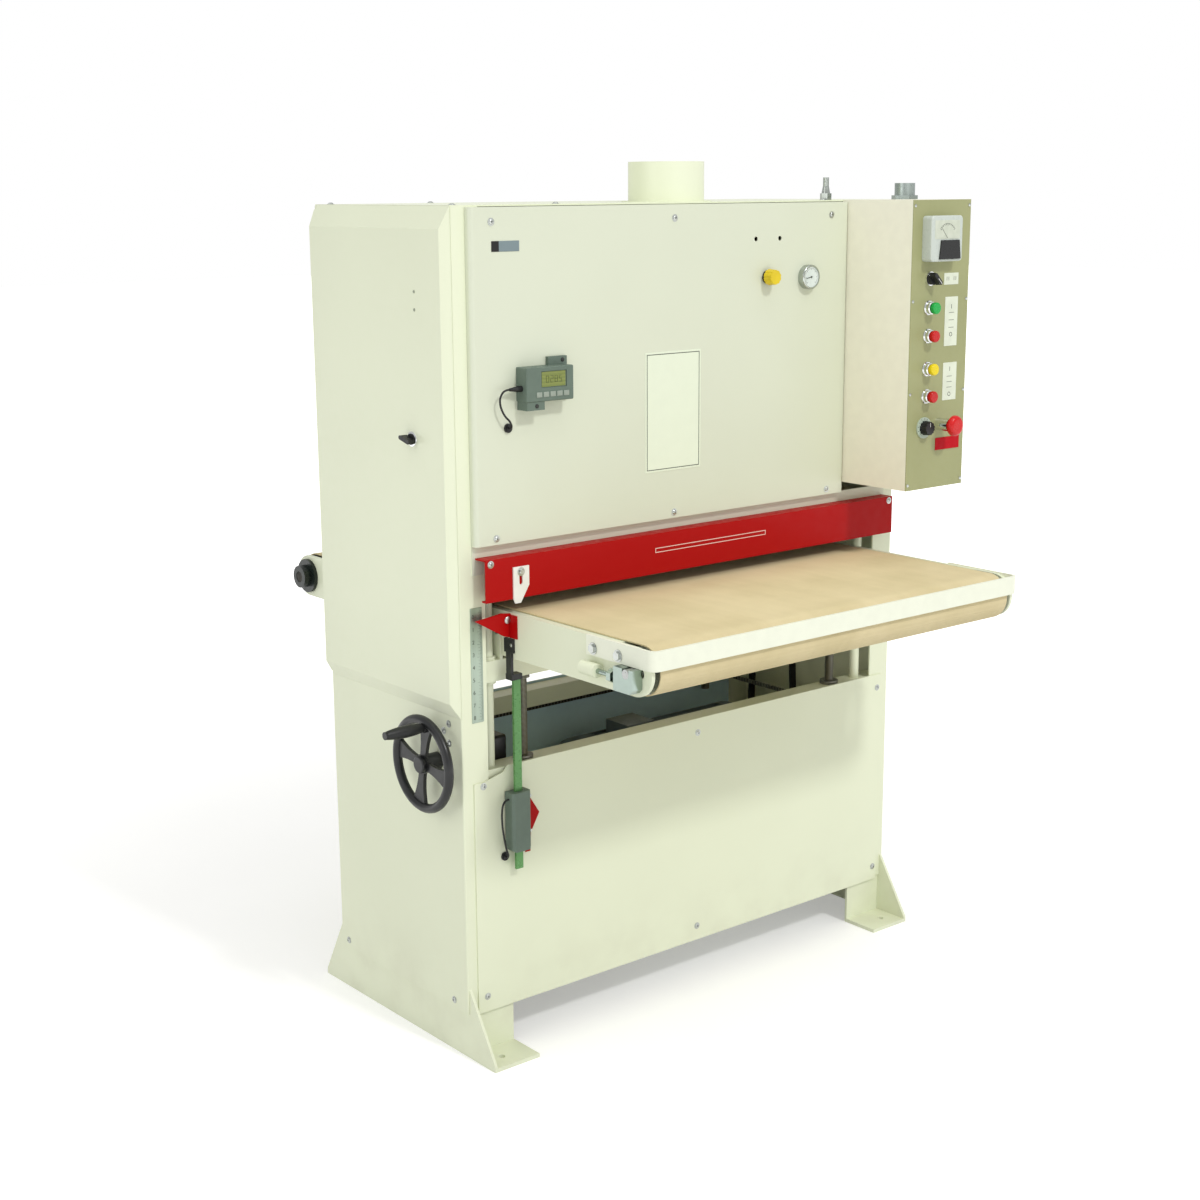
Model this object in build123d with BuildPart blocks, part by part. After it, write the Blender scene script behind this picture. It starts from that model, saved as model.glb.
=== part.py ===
"""Wide belt sander with a 37 in conveyor table and a single sanding head.

Millimetres. Z is up, X runs across the machine, and the infeed side faces -Y.
The origin lies on the floor at the centre of the four anchor holes.
"""
import math
import os
from build123d import *

os.makedirs("parts", exist_ok=True)

# Body
roof_height = 1700.0
body_width = 1230.0
body_depth = 480.0
frame_sheet = 4.0
cover_sheet = 2.0
column_flange = 62.0
skirt_top = 604.0
skirt_bottom = 92.0
skirt_edge_inset = 25.0
bend_radius = 8.0

# Feet
foot_plate = 6.0
foot_height = 150.0
foot_width = 112.0
foot_ear_reach_front = 84.0
foot_ear_reach_rear = 76.0
foot_ear_lip = 12.0
side_sheet_bottom = 97.0
floor_flange = 8.0
anchor_hole_radius = 7.0
anchor_inset_x = 49.0
anchor_outset_y = 45.0

# Front cover, guard and rear panels
cover_depth = 16.0
cover_left_inset = 32.0
cover_bottom = 1057.0
cover_top_gap = 4.0
apron_bottom = 1000.0
guard_top = 1034.0
guard_bottom = 950.0
guard_width = 1152.0
guard_depth = 33.0
guard_sheet = 3.0
guard_lip = 14.0
rear_cover_bottom = 1010.0
grommet_x = -503.0
grommet_height = 1281.0
grommet_radius = 9.0
lead_hole_radius = 5.0
service_hole_x = (152.0, 222.0)
service_hole_height = 1622.5
service_hole_radius = 5.0
door_over_wheel = 2.0
skirt_lip = 3.0
skirt_notch_length = 84.0
skirt_notch_depth = 24.0
cover_screw_x = (-534.0, -76.0, 378.0)
skirt_screw_x = (-568.0, 6.0, 578.0)
rear_screw_x = (-568.0, 6.0, 568.0)
rear_cover_screw_x = (-560.0, 0.0, 560.0)
roof_screw_x = (-600.0, -357.0, 380.0)
guard_screw_x = 564.0
foot_screw_height = 114.0
screw_head = 3.0
screw_across_flats = 9.0
gearbox_screws = ((-196.0, 84.0), (-178.0, 66.0), (-196.0, 44.0))

# Thickness stop on the guard
stop_slot_x = -494.0
stop_left = -512.0
stop_right = -474.0
stop_top = 1013.0
stop_shoulder = 975.0
stop_tip = 941.0
stop_sheet = 3.0
stop_gap = 0.3
stop_slot_length = 30.0
stop_slot_width = 8.0
stop_slot_height = 992.0

# Control box
box_width = 185.0
box_depth = 203.0
box_bottom = 1080.0
panel_sheet = 2.0
button_column_x = 487.0
button_stem_radius = 8.0
button_cap_radius = 12.5
button_cap_depth = 8.0
button_travel = 4.0
button_clearance = 0.35
bezel_radius = 13.5
bezel_length = 13.0
start_height = 1473.0
stop_height = 1413.0
feed_start_height = 1342.0
feed_stop_height = 1283.0
selector_height = 1535.0
selector_plate = 5.0
dial_x = 482.0
dial_height = 1215.0
dial_plate = 3.0
knob_stem_radius = 4.2
estop_x = 533.0
estop_height = 1219.0
estop_radius = 22.5
estop_stem_radius = 8.0
estop_neck = 38.0
estop_travel = 5.0
meter_x = 510.0
meter_height = 1619.0
meter_width = 100.0
meter_tall = 96.0
meter_depth = 26.0
meter_cover = 3.0
meter_corner = 8.0
selector_base_radius = 13.0
selector_base = 8.0
selector_wing = (34.0, 11.0, 13.0)
selector_collar_radius = 15.0
dial_plate_radius = 23.0
dial_radius = 15.5
dial_grip = 17.0
knob_tail = 12.0
head_gap = 0.4
button_tail = 8.0
estop_cap = 16.0
estop_collar_radius = 14.0
conduit_nut = 9.0

# Right drive cover
drive_cover_half = 200.0
drive_cover_bottom = 700.0
drive_cover_top = 1640.0
drive_cover_sheet = 3.0

# Left door
door_proud = 17.0
door_gap = 0.6
door_top_slope = 43.0
door_bottom_slope = 30.0
door_front_slope = 14.0
door_sheet = 2.0
door_rear_inset = 6.0
hinge_x = 625.0
hinge_y = 227.4
hinge_pin_radius = 3.0
hinge_barrel_radius = 4.2
hinge_leaf = 4.0
hinge_barrel = 14.0
hinge_gap = 0.4
hinge_heights = (780.0, 1230.0, 1620.0)
latch_y = -120.0
latch_height = 1258.0
latch_spindle_radius = 5.0
opening_bottom = 800.0
opening_top = 1650.0
opening_front = -140.0
opening_rear = 190.0
opening_corner = 30.0
latch_wing = (36.0, 8.0, 16.0)
latch_tilt = 15.0
latch_standoff = 4.0
latch_cam_reach = 34.0
latch_cam = 3.0

# Roof, dust outlet and fittings
roof_sheet = 3.0
port_flange = 14.0
port_radius = 79.0
port_wall = 2.0
port_height = 81.0
port_y = -143.0
conduit_x = 522.0
conduit_y = -335.0
conduit_radius = 22.0
conduit_wall = 3.0
conduit_height = 35.0
air_x = 400.0
air_y = -216.0
air_height = 48.0
air_radius = 6.5
gauge_x = 304.0
gauge_height = 1539.0
gauge_radius = 26.0
gauge_depth = 16.0
regulator_x = 185.0
regulator_height = 1543.0
regulator_stem_radius = 5.0
regulator_neck_radius = 7.7
regulator_collar = 7.0
regulator_collar_radius = 14.0
regulator_knob_radius = 17.0
regulator_knob_length = 20.0
gauge_rim = 4.0
gauge_recess = 2.0
gauge_stem_radius = 5.0
air_nut = 14.0
air_nut_across = 22.0

# Conveyor table
belt_top = 922.0
conveyor_thickness = 3.0
roller_radius = 45.0
belt_width = 974.0
table_width = 1026.0
side_plate = 8.0
bar_strip = 6.0
bar_bend = 18.0
bar_return = 190.0
front_shaft_radius = 9.0
rear_shaft_radius = 12.5
take_up_height = 861.0
bar_height = 38.0
front_roller_y = -636.0
rear_roller_y = 505.0
bed_thickness = 8.0
belt_running_gap = 0.4
bar_bolt_across = 15.0
bar_bolt_head = 6.0
bar_bolt_setback = (92.0, 20.0)
take_up_front = 20.0
take_up_rear = 34.0
take_up_drop = 36.0
take_up_bolt_offset = 14.0
take_up_bolt_start = 56.0
take_up_bolt_radius = 5.0
take_up_nut = 12.0
take_up_sleeve_radius = 13.0
take_up_sleeve = 44.0
rear_flange_radius = 38.0
rear_flange = 8.0
rear_boss_radius = 25.0
rear_boss = 26.0
beam_drop = 48.0
beam_gap = 5.0
beam_wall = 4.0
beam_half_width = 20.0
bed_beam_front = -480.0
bed_beam_rear = 400.0
bed_beam_tall = 25.0
bush_overhang = 6.0
beam_end = 18.0
cheek_sheet = 6.0
pointer_reach = 85.0
pointer_forward = 18.0
screw_head_across = 30.0
screw_head_drop = 8.0
screw_below_deck = 60.0
gearmotor_box = (92.0, 96.0, 95.0)
gearmotor_radius = 44.0
gearmotor_length = 150.0
gearmotor_rise = 40.0
gearmotor_fan_cover = 18.0

# Table lift
screw_x = 446.0
lift_y = 212.0
screw_radius = 10.0
nut_radius = 15.0
nut_flange_radius = 21.0
nut_clearance = 0.08
guide_x = 530.0
guide_radius = 11.0
guide_top = 1000.0
bush_radius = 16.0
deck_top = 600.0
deck_depth = 40.0
deck_wall = 5.0
deck_half_width = 23.0
sprocket_teeth = 13
chain_pitch = 9.525
chain_height = 9.0
chain_thickness = 4.0
chain_level = 541.0
drive_sprocket_radius = 16.0
drive_sprocket_teeth = 9
output_radius = 8.0
tooth_height = 2.4
roller_seat = 2.7
wheel_y = -157.0
wheel_over_chain = 75.0
wheel_radius = 100.0
wheel_rim = 9.5
wheel_offset = 38.0
wheel_shaft_radius = 8.0
wheel_hub_radius = 18.0
wheel_boss_radius = 20.0
wheel_web = 8.0
gearbox_below_shaft = 24.0
gearbox_above_shaft = 30.0
gearbox_plate = 6.0
gearbox_plate_above_shaft = 116.0
gearbox_plate_half = 30.0
gearbox_half = 26.0
gearbox_boss = 16.0
gearbox_boss_radius = 15.0
output_socket = 14.0
shaft_socket = 56.0
nut_flange = 8.0
sprocket_thickness = 5.0
fitting_gap = 0.3
spoke_angle = 10.0
spoke_count = 4
grip_circle = 80.0
grip_length = 82.0
grip_seat = 10.0
grip_radius = 12.0
grip_stud_radius = 5.0

# Sanding head
drum_y = 105.0
drum_radius = 75.0
drum_length = 950.0
sanding_line = 948.0
abrasive_thickness = 1.5
abrasive_gap = 0.3
abrasive_width = 940.0
abrasive_length = 1524.0
tension_radius = 55.0
tension_stroke = 25.0
drum_shaft_radius = 17.5
head_end_plate = 12.0
beam_bottom = 1180.0
beam_top = 1300.0
beam_half_depth = 40.0
yoke_bottom = 1430.0
yoke_height = 40.0
yoke_half_depth = 25.0
guide_pin_radius = 12.0
yoke_pin_x = 300.0
cylinder_height = 85.0
cylinder_radius = 32.0
cylinder_floor = 12.0
head_beam_wall = 8.0
head_plate_half = 42.0
head_plate_drop = 40.0
lock_bar_tall = 50.0
lock_bar_thickness = 10.0
tension_journal_radius = 10.0
yoke_cheek = 12.0
journal_gap = 7.0
piston_radius = 8.0
lock_bar_low = 1186.0
running_clearance = 0.08
drive_x = 572.0
drive_width = 20.0
pulley_flange = 4.0
drum_pulley_radius = 50.0
motor_pulley_radius = 75.0
drive_belt_thickness = 5.0
drive_clearance = 0.3
tie_width = 40.0
tie_height = 146.0
tie_depth = 46.0
tie_wall = 6.0
motor_shelf = 222.0
motor_y = 100.0
motor_height = 365.0
motor_radius = 125.0
motor_shaft_radius = 19.0
motor_left = -60.0
motor_right = 430.0
motor_bell = 60.0
motor_bell_fillet = 20.0
motor_barrel_step = 10.0
motor_end = 30.0
motor_ribs = 24
motor_foot = 50.0
motor_socket = 25.0
shelf_overhang_left = 30.0
shelf_overhang_right = 22.0
shelf_strut = 40.0
pinch_radius = 22.0
pinch_length = 960.0
pinch_journal_radius = 7.0
pinch_journal = 12.0
pinch_ear_gap = 4.0
pinch_ear = 8.0
pinch_ear_drop = 11.0
pinch_bar_gap = 10.0
pinch_bar_thickness = 12.0
pinch_bar_post = 40.0
pinch_bar_depth = 28.0
pinch_bar_reach = 568.0
infeed_pinch_y = -22.0
outfeed_pinch_y = 208.0

# Thickness readout
readout_x = -424.0
readout_width = 114.0
readout_bottom = 1330.0
readout_tall = 66.0
readout_depth = 34.0
scale_x = -495.0
scale_width = 17.0
scale_thickness = 6.0
scale_y = -259.0
scale_bottom = 388.0
scale_top = 790.0
reader_bottom = 428.0
reader_top = 552.0
reader_width = 46.0
reader_depth = 30.0
reader_slot_gap = 1.0
bracket_sheet = 3.0
scale_arm = 6.0
lead_radius = 2.0
lead_clearance = 0.3
plug_setback = 16.0
plug_rise = 26.0
plug_body = 10.0
plug_boot = 18.0
reader_lead_x = -519.0
reader_lead_height = 415.0
grommet_collar = 3.5
grommet_nose = 2.0

# Levels and faces worked out from the sizes above
half_width = body_width / 2
half_depth = body_depth / 2
inner_face = half_width - frame_sheet
front_face = -half_depth
cover_face = front_face - cover_depth
skirt_face = front_face - guard_sheet
box_left = half_width - box_width
box_face = front_face - box_depth
loop_radius = roller_radius + conveyor_thickness
table_axis = belt_top - loop_radius
plate_outer = table_width / 2 - bar_strip
plate_inner = plate_outer - side_plate
take_up_outer = plate_outer + 24
bar_outer = table_width / 2
bar_front = front_roller_y - loop_radius - 3 - bar_strip
drum_axis = sanding_line + abrasive_thickness + abrasive_gap + drum_radius
belt_line_offset = abrasive_gap + abrasive_thickness / 2
tension_reach = (abrasive_length - math.pi * (drum_radius + tension_radius + 2 * belt_line_offset)) / 2
tension_axis = drum_axis + tension_reach - (drum_radius - tension_radius) ** 2 / (2 * tension_reach)
sprocket_radius = chain_pitch / (2 * math.sin(math.pi / sprocket_teeth))
door_face = half_width + door_proud
pinch_axis = sanding_line - 1 + pinch_radius
guard_face = front_face - guard_depth - guard_sheet
wheel_height = chain_level + wheel_over_chain
door_bottom = wheel_height + wheel_radius + door_over_wheel
readout_left = readout_x - readout_width / 2
readout_right = readout_x + readout_width / 2
readout_top = readout_bottom + readout_tall
plug_y = cover_face - plug_setback
plug_height = readout_bottom + plug_rise
plug_tip_x = readout_left - plug_body - plug_boot
reader_face = scale_y - reader_depth / 2
reader_left = scale_x - reader_width / 2
chain_inner = sprocket_radius + tooth_height + fitting_gap
output_x = -screw_x - chain_inner - chain_thickness - fitting_gap - drive_sprocket_radius
rim_x = -half_width - wheel_offset
rim_circle = wheel_radius - wheel_rim
head_plate_face = pinch_length / 2 + pinch_ear_gap + pinch_journal


def block(low, high, mode=Mode.ADD):
    """A square-cornered block between two opposite corners."""
    size = [b - a for a, b in zip(low, high)]
    with Locations(tuple((a + b) / 2 for a, b in zip(low, high))):
        return Box(*size, mode=mode)


def rod(start, along, length, radius, mode=Mode.ADD):
    """A round bar that starts at a point and runs along a direction."""
    with Locations(Plane(origin=start, z_dir=along)):
        return Cylinder(radius, length, align=(Align.CENTER, Align.CENTER, Align.MIN), mode=mode)


def hexagon(start, along, height, across, mode=Mode.ADD):
    """A hexagon head or nut, given by its size across the flats."""
    with BuildSketch(Plane(origin=start, z_dir=along)) as outline:
        RegularPolygon(across / 2, 6, major_radius=False)
    return extrude(outline.sketch, amount=height, mode=mode)


def strap(plane, wheels, thickness, width):
    """An endless belt round wheels, each given by its centre on the plane and its inner radius."""
    with BuildPart() as loop:
        with BuildSketch(plane):
            for centre, radius in wheels:
                with Locations(centre):
                    Circle(radius + thickness)
            make_hull()
            with BuildSketch(plane, mode=Mode.SUBTRACT):
                for centre, radius in wheels:
                    with Locations(centre):
                        Circle(radius)
                make_hull()
        extrude(amount=width / 2, both=True)
    return loop


def bore(start, along, length, radius):
    """A round hole."""
    return rod(start, along, length, radius, mode=Mode.SUBTRACT)


def save(piece, name):
    """Label a finished piece and write its file."""
    piece.part.label = name
    export_step(piece.part, f"parts/{name}.step")


def side_frame(side):
    """A folded side sheet with its foot weldment. side is -1 on the left and 1 on the right."""
    def across(inner, outer):
        return sorted((side * inner, side * outer))

    with BuildPart() as frame:
        low, high = across(half_width - column_flange, half_width)
        block((low, -half_depth, side_sheet_bottom), (high, half_depth, roof_height - roof_sheet))
        outer_bends = frame.edges().filter_by(Axis.Z).sort_by(lambda e: side * e.center().X)[-2:]
        fillet(outer_bends, frame_sheet - 0.5)
        low, high = across(half_width - column_flange, inner_face)
        block((low, -half_depth + frame_sheet, side_sheet_bottom),
              (high, half_depth - frame_sheet, roof_height - roof_sheet), mode=Mode.SUBTRACT)
        with BuildSketch(Plane.YZ.offset(side * (inner_face - foot_plate / 2))):
            with BuildLine():
                Polyline(
                    (-half_depth - foot_ear_reach_front, 0),
                    (half_depth + foot_ear_reach_rear, 0),
                    (half_depth + foot_ear_reach_rear, foot_ear_lip),
                    (half_depth, foot_height),
                    (-half_depth, foot_height),
                    (-half_depth - foot_ear_reach_front, foot_ear_lip),
                    close=True)
            make_face()
        extrude(amount=foot_plate / 2, both=True)
        low, high = across(inner_face - foot_width, inner_face)
        upright_face = half_depth - frame_sheet
        for face, reach in ((-1, foot_ear_reach_front), (1, foot_ear_reach_rear)):
            near, far = sorted((face * upright_face, face * (upright_face - foot_plate)))
            block((low, near, 0), (high, far, foot_height))
            near, far = sorted((face * (upright_face - foot_plate), face * (half_depth + reach)))
            block((low, near, 0), (high, far, floor_flange))
            bore((side * (half_width - anchor_inset_x), face * (half_depth + anchor_outset_y), 0),
                 (0, 0, 1), floor_flange, anchor_hole_radius)
        if side < 0:
            with BuildSketch(Plane.YZ.offset(-half_width)):
                with Locations(((opening_front + opening_rear) / 2, (opening_bottom + opening_top) / 2)):
                    RectangleRounded(opening_rear - opening_front, opening_top - opening_bottom, opening_corner)
            extrude(amount=frame_sheet, mode=Mode.SUBTRACT)
            bore((-half_width, wheel_y, wheel_height), (1, 0, 0), frame_sheet, wheel_shaft_radius + 0.5)
            for height in hinge_heights:
                block((-hinge_x, hinge_y - hinge_leaf / 2, height - hinge_barrel),
                      (-half_width, hinge_y + hinge_leaf / 2, height + hinge_barrel))
                rod((-hinge_x, hinge_y, height - hinge_barrel), (0, 0, 1),
                    2 * hinge_barrel, hinge_barrel_radius)
                rod((-hinge_x, hinge_y, height - 2 * hinge_barrel), (0, 0, 1),
                    4 * hinge_barrel, hinge_pin_radius)
        else:
            block((half_width, -drive_cover_half, drive_cover_bottom),
                  (half_width + drive_cover_sheet, drive_cover_half, drive_cover_top))
            outer = frame.faces().sort_by(Axis.X)[-1]
            fillet(outer.edges(), drive_cover_sheet - 0.5)
    return frame


for side, name in ((-1, "left_side_frame"), (1, "right_side_frame")):
    save(side_frame(side), name)

# Decks that carry the lift, lower ties between the feet, the motor shelf and the pinch roller bars
shelf_left = motor_left - shelf_overhang_left
shelf_right = motor_right + shelf_overhang_right
with BuildPart() as cross_members:
    for face in (-1, 1):
        y = face * lift_y
        block((-inner_face, y - deck_half_width, deck_top - deck_depth),
              (inner_face, y + deck_half_width, deck_top))
        block((-inner_face, y - deck_half_width + deck_wall, deck_top - deck_depth),
              (inner_face, y + deck_half_width - deck_wall, deck_top - deck_wall), mode=Mode.SUBTRACT)
        for x in (-screw_x, screw_x):
            bore((x, y, deck_top - deck_wall), (0, 0, 1), deck_wall, nut_radius + 0.3)
        for x in (-guide_x, guide_x):
            rod((x, y, deck_top - deck_wall), (0, 0, 1), guide_top - deck_top + deck_wall, guide_radius)
        tie_y = face * (half_depth - frame_sheet - foot_plate - tie_width / 2)
        tie_reach = inner_face - foot_plate
        block((-tie_reach, tie_y - tie_width / 2, tie_height),
              (tie_reach, tie_y + tie_width / 2, tie_height + tie_wall))
        block((-tie_reach, tie_y - tie_wall / 2, tie_height - tie_depth),
              (tie_reach, tie_y + tie_wall / 2, tie_height))
        near, far = sorted((face * (half_depth - frame_sheet), face * (half_depth - frame_sheet - shelf_strut)))
        for x in (shelf_left, shelf_right):
            block((x, near, tie_height + tie_wall), (x + deck_wall, far, motor_shelf - deck_wall))
    block((shelf_left, -half_depth + frame_sheet, motor_shelf - deck_wall),
          (shelf_right + deck_wall, half_depth - frame_sheet, motor_shelf))
    bar_low = pinch_axis + pinch_radius + pinch_bar_gap
    bar_high = bar_low + pinch_bar_thickness
    for y, face in ((infeed_pinch_y, -1), (outfeed_pinch_y, 1)):
        bar_near, bar_far = y - pinch_bar_depth / 2, y + pinch_bar_depth / 2
        block((-pinch_bar_reach, bar_near, bar_low), (pinch_bar_reach, bar_far, bar_high))
        for end in (-1, 1):
            ear = pinch_length / 2 + pinch_ear_gap
            low, high = sorted((end * ear, end * (ear + pinch_ear)))
            block((low, bar_near, pinch_axis - pinch_ear_drop), (high, bar_far, bar_low))
            bore((low, y, pinch_axis), (1, 0, 0), pinch_ear, pinch_journal_radius + running_clearance)
            low, high = sorted((end * (pinch_bar_reach - pinch_ear), end * pinch_bar_reach))
            near, far = sorted((face * (half_depth - frame_sheet), y - face * pinch_bar_depth / 2))
            block((low, near, bar_low), (high, far, bar_low + pinch_bar_post))
save(cross_members, "cross_members")

# Skirt panels
with BuildPart() as front_skirt:
    edge = half_width - skirt_edge_inset
    block((-edge, skirt_face, skirt_bottom), (edge, front_face, skirt_top))
    block((-edge + skirt_notch_length + skirt_lip, front_face, skirt_top - skirt_lip),
          (half_width - column_flange - 1, front_face + skirt_lip, skirt_top))
    with BuildSketch(Plane.XZ.offset(-front_face)):
        with BuildLine():
            notch_right = -edge + skirt_notch_length
            notch_low = skirt_top - skirt_notch_depth
            Polyline((-edge - 1, skirt_top + 1), (notch_right, skirt_top + 1),
                     (notch_right - skirt_notch_depth / 2, skirt_top - skirt_notch_depth / 2),
                     (-edge + skirt_notch_depth, notch_low), (-edge - 1, notch_low), close=True)
        make_face()
    extrude(amount=guard_sheet, mode=Mode.SUBTRACT)
save(front_skirt, "front_skirt")

with BuildPart() as rear_panels:
    edge = half_width - skirt_edge_inset
    block((-edge, half_depth, skirt_bottom), (edge, half_depth + guard_sheet, skirt_top))
    top = roof_height - cover_top_gap
    block((-edge, half_depth, rear_cover_bottom), (edge, half_depth + cover_depth, top))
    block((-edge + cover_sheet, half_depth, rear_cover_bottom + cover_sheet),
          (edge - cover_sheet, half_depth + cover_depth - cover_sheet, top - cover_sheet), mode=Mode.SUBTRACT)
save(rear_panels, "rear_panels")

# Front cover: a folded pan with a set-back apron under its lower edge
with BuildPart() as front_cover:
    left = -half_width + cover_left_inset
    right = box_left - 1
    top = roof_height - cover_top_gap
    block((left, cover_face, cover_bottom), (right, front_face, top))
    fillet(front_cover.edges().filter_by(Axis.Z).group_by(Axis.Y)[0].sort_by(Axis.X)[0], bend_radius + 2)
    fillet(front_cover.edges().filter_by(Axis.Z).group_by(Axis.Y)[0].sort_by(Axis.X)[-1], 3)
    back = front_cover.faces().sort_by(Axis.Y)[-1]
    offset(amount=-cover_sheet, openings=back)
    block((left, front_face - cover_sheet, apron_bottom),
          (half_width - cover_left_inset, front_face, cover_bottom))
    bore((grommet_x, cover_face, grommet_height), (0, 1, 0), cover_sheet, lead_hole_radius)
    bore((regulator_x, cover_face, regulator_height), (0, 1, 0), cover_sheet, regulator_neck_radius + fitting_gap)
    bore((gauge_x, cover_face, gauge_height), (0, 1, 0), cover_sheet, gauge_stem_radius + 1)
    for x in service_hole_x:
        bore((x, cover_face, service_hole_height), (0, 1, 0), cover_sheet, service_hole_radius)
save(front_cover, "front_cover")

# Roof sheet with its stiffening ribs and the welded collar of the dust outlet
with BuildPart() as roof_panel:
    block((-half_width, -half_depth, roof_height - roof_sheet), (half_width, half_depth, roof_height))
    fillet(roof_panel.edges().filter_by(Axis.Z), 6)
    rod((0, port_y, roof_height), (0, 0, 1), 2, port_radius + port_flange)
    rod((0, port_y, roof_height), (0, 0, 1), port_height, port_radius)
    bore((0, port_y, roof_height - roof_sheet), (0, 0, 1), roof_sheet + port_height, port_radius - port_wall)
    for y in (-half_depth + 40, half_depth - 44):
        block((-inner_face, y, roof_height - roof_sheet - 20), (inner_face, y + 4, roof_height - roof_sheet))
save(roof_panel, "roof_panel")

# Red guard over the infeed opening
with BuildPart() as front_guard:
    end = guard_width / 2
    block((-end, guard_face, guard_bottom), (end, guard_face + guard_sheet, guard_top))
    block((-end, guard_face, guard_top - guard_sheet), (end, front_face - cover_sheet - 0.2, guard_top))
    block((-end, guard_face, guard_bottom), (end, guard_face + guard_lip, guard_bottom + guard_sheet))
save(front_guard, "front_guard")

# White tab on the guard that shows the greatest depth of cut, clamped by a screw in its slot
with BuildPart() as thickness_stop:
    with BuildSketch(Plane.XZ.offset(-guard_face + stop_gap)):
        with BuildLine():
            Polyline((stop_left, stop_top), (stop_right, stop_top), (stop_right, stop_shoulder),
                     (stop_left + 17, stop_tip), (stop_left + 4, stop_tip), (stop_left, stop_tip + 9), close=True)
        make_face()
        with Locations((stop_slot_x, stop_slot_height)):
            SlotOverall(stop_slot_length, stop_slot_width, rotation=90, mode=Mode.SUBTRACT)
    extrude(amount=stop_sheet)
save(thickness_stop, "thickness_stop")

# Control box with the conduit fitting on its top, and the panel on its front
with BuildPart() as control_box:
    block((box_left, box_face + panel_sheet, box_bottom), (half_width, front_face, roof_height))
    mouth = control_box.faces().sort_by(Axis.Y)[0]
    offset(amount=-cover_sheet, openings=mouth)
    rod((conduit_x, conduit_y, roof_height), (0, 0, 1), conduit_height, conduit_radius)
    hexagon((conduit_x, conduit_y, roof_height), (0, 0, 1), conduit_nut, 2 * (conduit_radius + conduit_wall))
    bore((conduit_x, conduit_y, roof_height - cover_sheet), (0, 0, 1), conduit_height + cover_sheet,
         conduit_radius - conduit_wall)
save(control_box, "control_box")

button_rows = (("start_button", start_height), ("stop_button", stop_height),
               ("feed_start_button", feed_start_height), ("feed_stop_button", feed_stop_height))
button_bore = button_stem_radius + button_clearance
with BuildPart() as control_panel:
    block((box_left, box_face, box_bottom), (half_width, box_face + panel_sheet, roof_height))
    for _, height in button_rows:
        bore((button_column_x, box_face, height), (0, 1, 0), panel_sheet, button_bore)
    bore((estop_x, box_face, estop_height), (0, 1, 0), panel_sheet, estop_stem_radius + button_clearance)
    for x, height in ((button_column_x, selector_height), (dial_x, dial_height)):
        bore((x, box_face, height), (0, 1, 0), panel_sheet, knob_stem_radius + running_clearance)
save(control_panel, "control_panel")

# Chrome collars of the buttons and the selector, the dial plate and the neck of the emergency stop
with BuildPart() as button_bezels:
    for _, height in button_rows:
        rod((button_column_x, box_face, height), (0, -1, 0), bezel_length, bezel_radius)
        chamfer(button_bezels.faces().sort_by(Axis.Y)[0].edges(), 2)
        bore((button_column_x, box_face, height), (0, -1, 0), bezel_length, button_bore)
    for x, height, thick, radius in ((button_column_x, selector_height, selector_plate, selector_collar_radius),
                                     (dial_x, dial_height, dial_plate, dial_plate_radius)):
        rod((x, box_face, height), (0, -1, 0), thick, radius)
        bore((x, box_face, height), (0, -1, 0), thick, knob_stem_radius + running_clearance)
    neck = estop_neck - estop_travel - 1
    rod((estop_x, box_face, estop_height), (0, -1, 0), neck, estop_collar_radius)
    bore((estop_x, box_face, estop_height), (0, -1, 0), neck, estop_stem_radius + button_clearance)
save(button_bezels, "button_bezels")

for name, height in button_rows:
    with BuildPart() as button:
        stem = bezel_length + button_travel + head_gap
        rod((button_column_x, box_face + panel_sheet + button_tail, height), (0, -1, 0),
            panel_sheet + button_tail + stem, button_stem_radius)
        rod((button_column_x, box_face - stem, height), (0, -1, 0), button_cap_depth, button_cap_radius)
        fillet(button.faces().sort_by(Axis.Y)[0].edges(), 3)
    save(button, name)

with BuildPart() as selector_knob:
    stem = selector_plate + head_gap
    wing_length, wing_width, wing_height = selector_wing
    rod((button_column_x, box_face + knob_tail, selector_height), (0, -1, 0), knob_tail + stem + 1, knob_stem_radius)
    rod((button_column_x, box_face - stem, selector_height), (0, -1, 0), selector_base, selector_base_radius)
    with BuildSketch(Plane.XZ.offset(-box_face + stem + selector_base)):
        with Locations((button_column_x, selector_height)):
            SlotOverall(wing_length, wing_width, rotation=-45)
    extrude(amount=wing_height, taper=5)
save(selector_knob, "selector_knob")

with BuildPart() as speed_dial:
    stem = dial_plate + head_gap
    rod((dial_x, box_face + knob_tail, dial_height), (0, -1, 0), knob_tail + stem + 1, knob_stem_radius)
    with BuildSketch(Plane.XZ.offset(-box_face + stem)):
        with Locations((dial_x, dial_height)):
            Circle(dial_radius)
            with PolarLocations(dial_radius + 1.5, 12):
                Circle(3, mode=Mode.SUBTRACT)
    extrude(amount=dial_grip, taper=3)
save(speed_dial, "speed_dial")

with BuildPart() as estop_button:
    rod((estop_x, box_face + 14, estop_height), (0, -1, 0), 14 + estop_neck, estop_stem_radius)
    rod((estop_x, box_face - estop_neck, estop_height), (0, -1, 0), estop_cap, estop_radius)
    crown = estop_button.faces().sort_by(Axis.Y)[0]
    fillet(crown.edges(), 9)
    rim = 2 * math.pi * (estop_radius - 1)
    underside = estop_button.edges().filter_by(
        lambda e: abs(e.center().Y - box_face + estop_neck) < 0.1 and e.length > rim)
    chamfer(underside, 4, 5)
save(estop_button, "estop_button")

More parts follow.
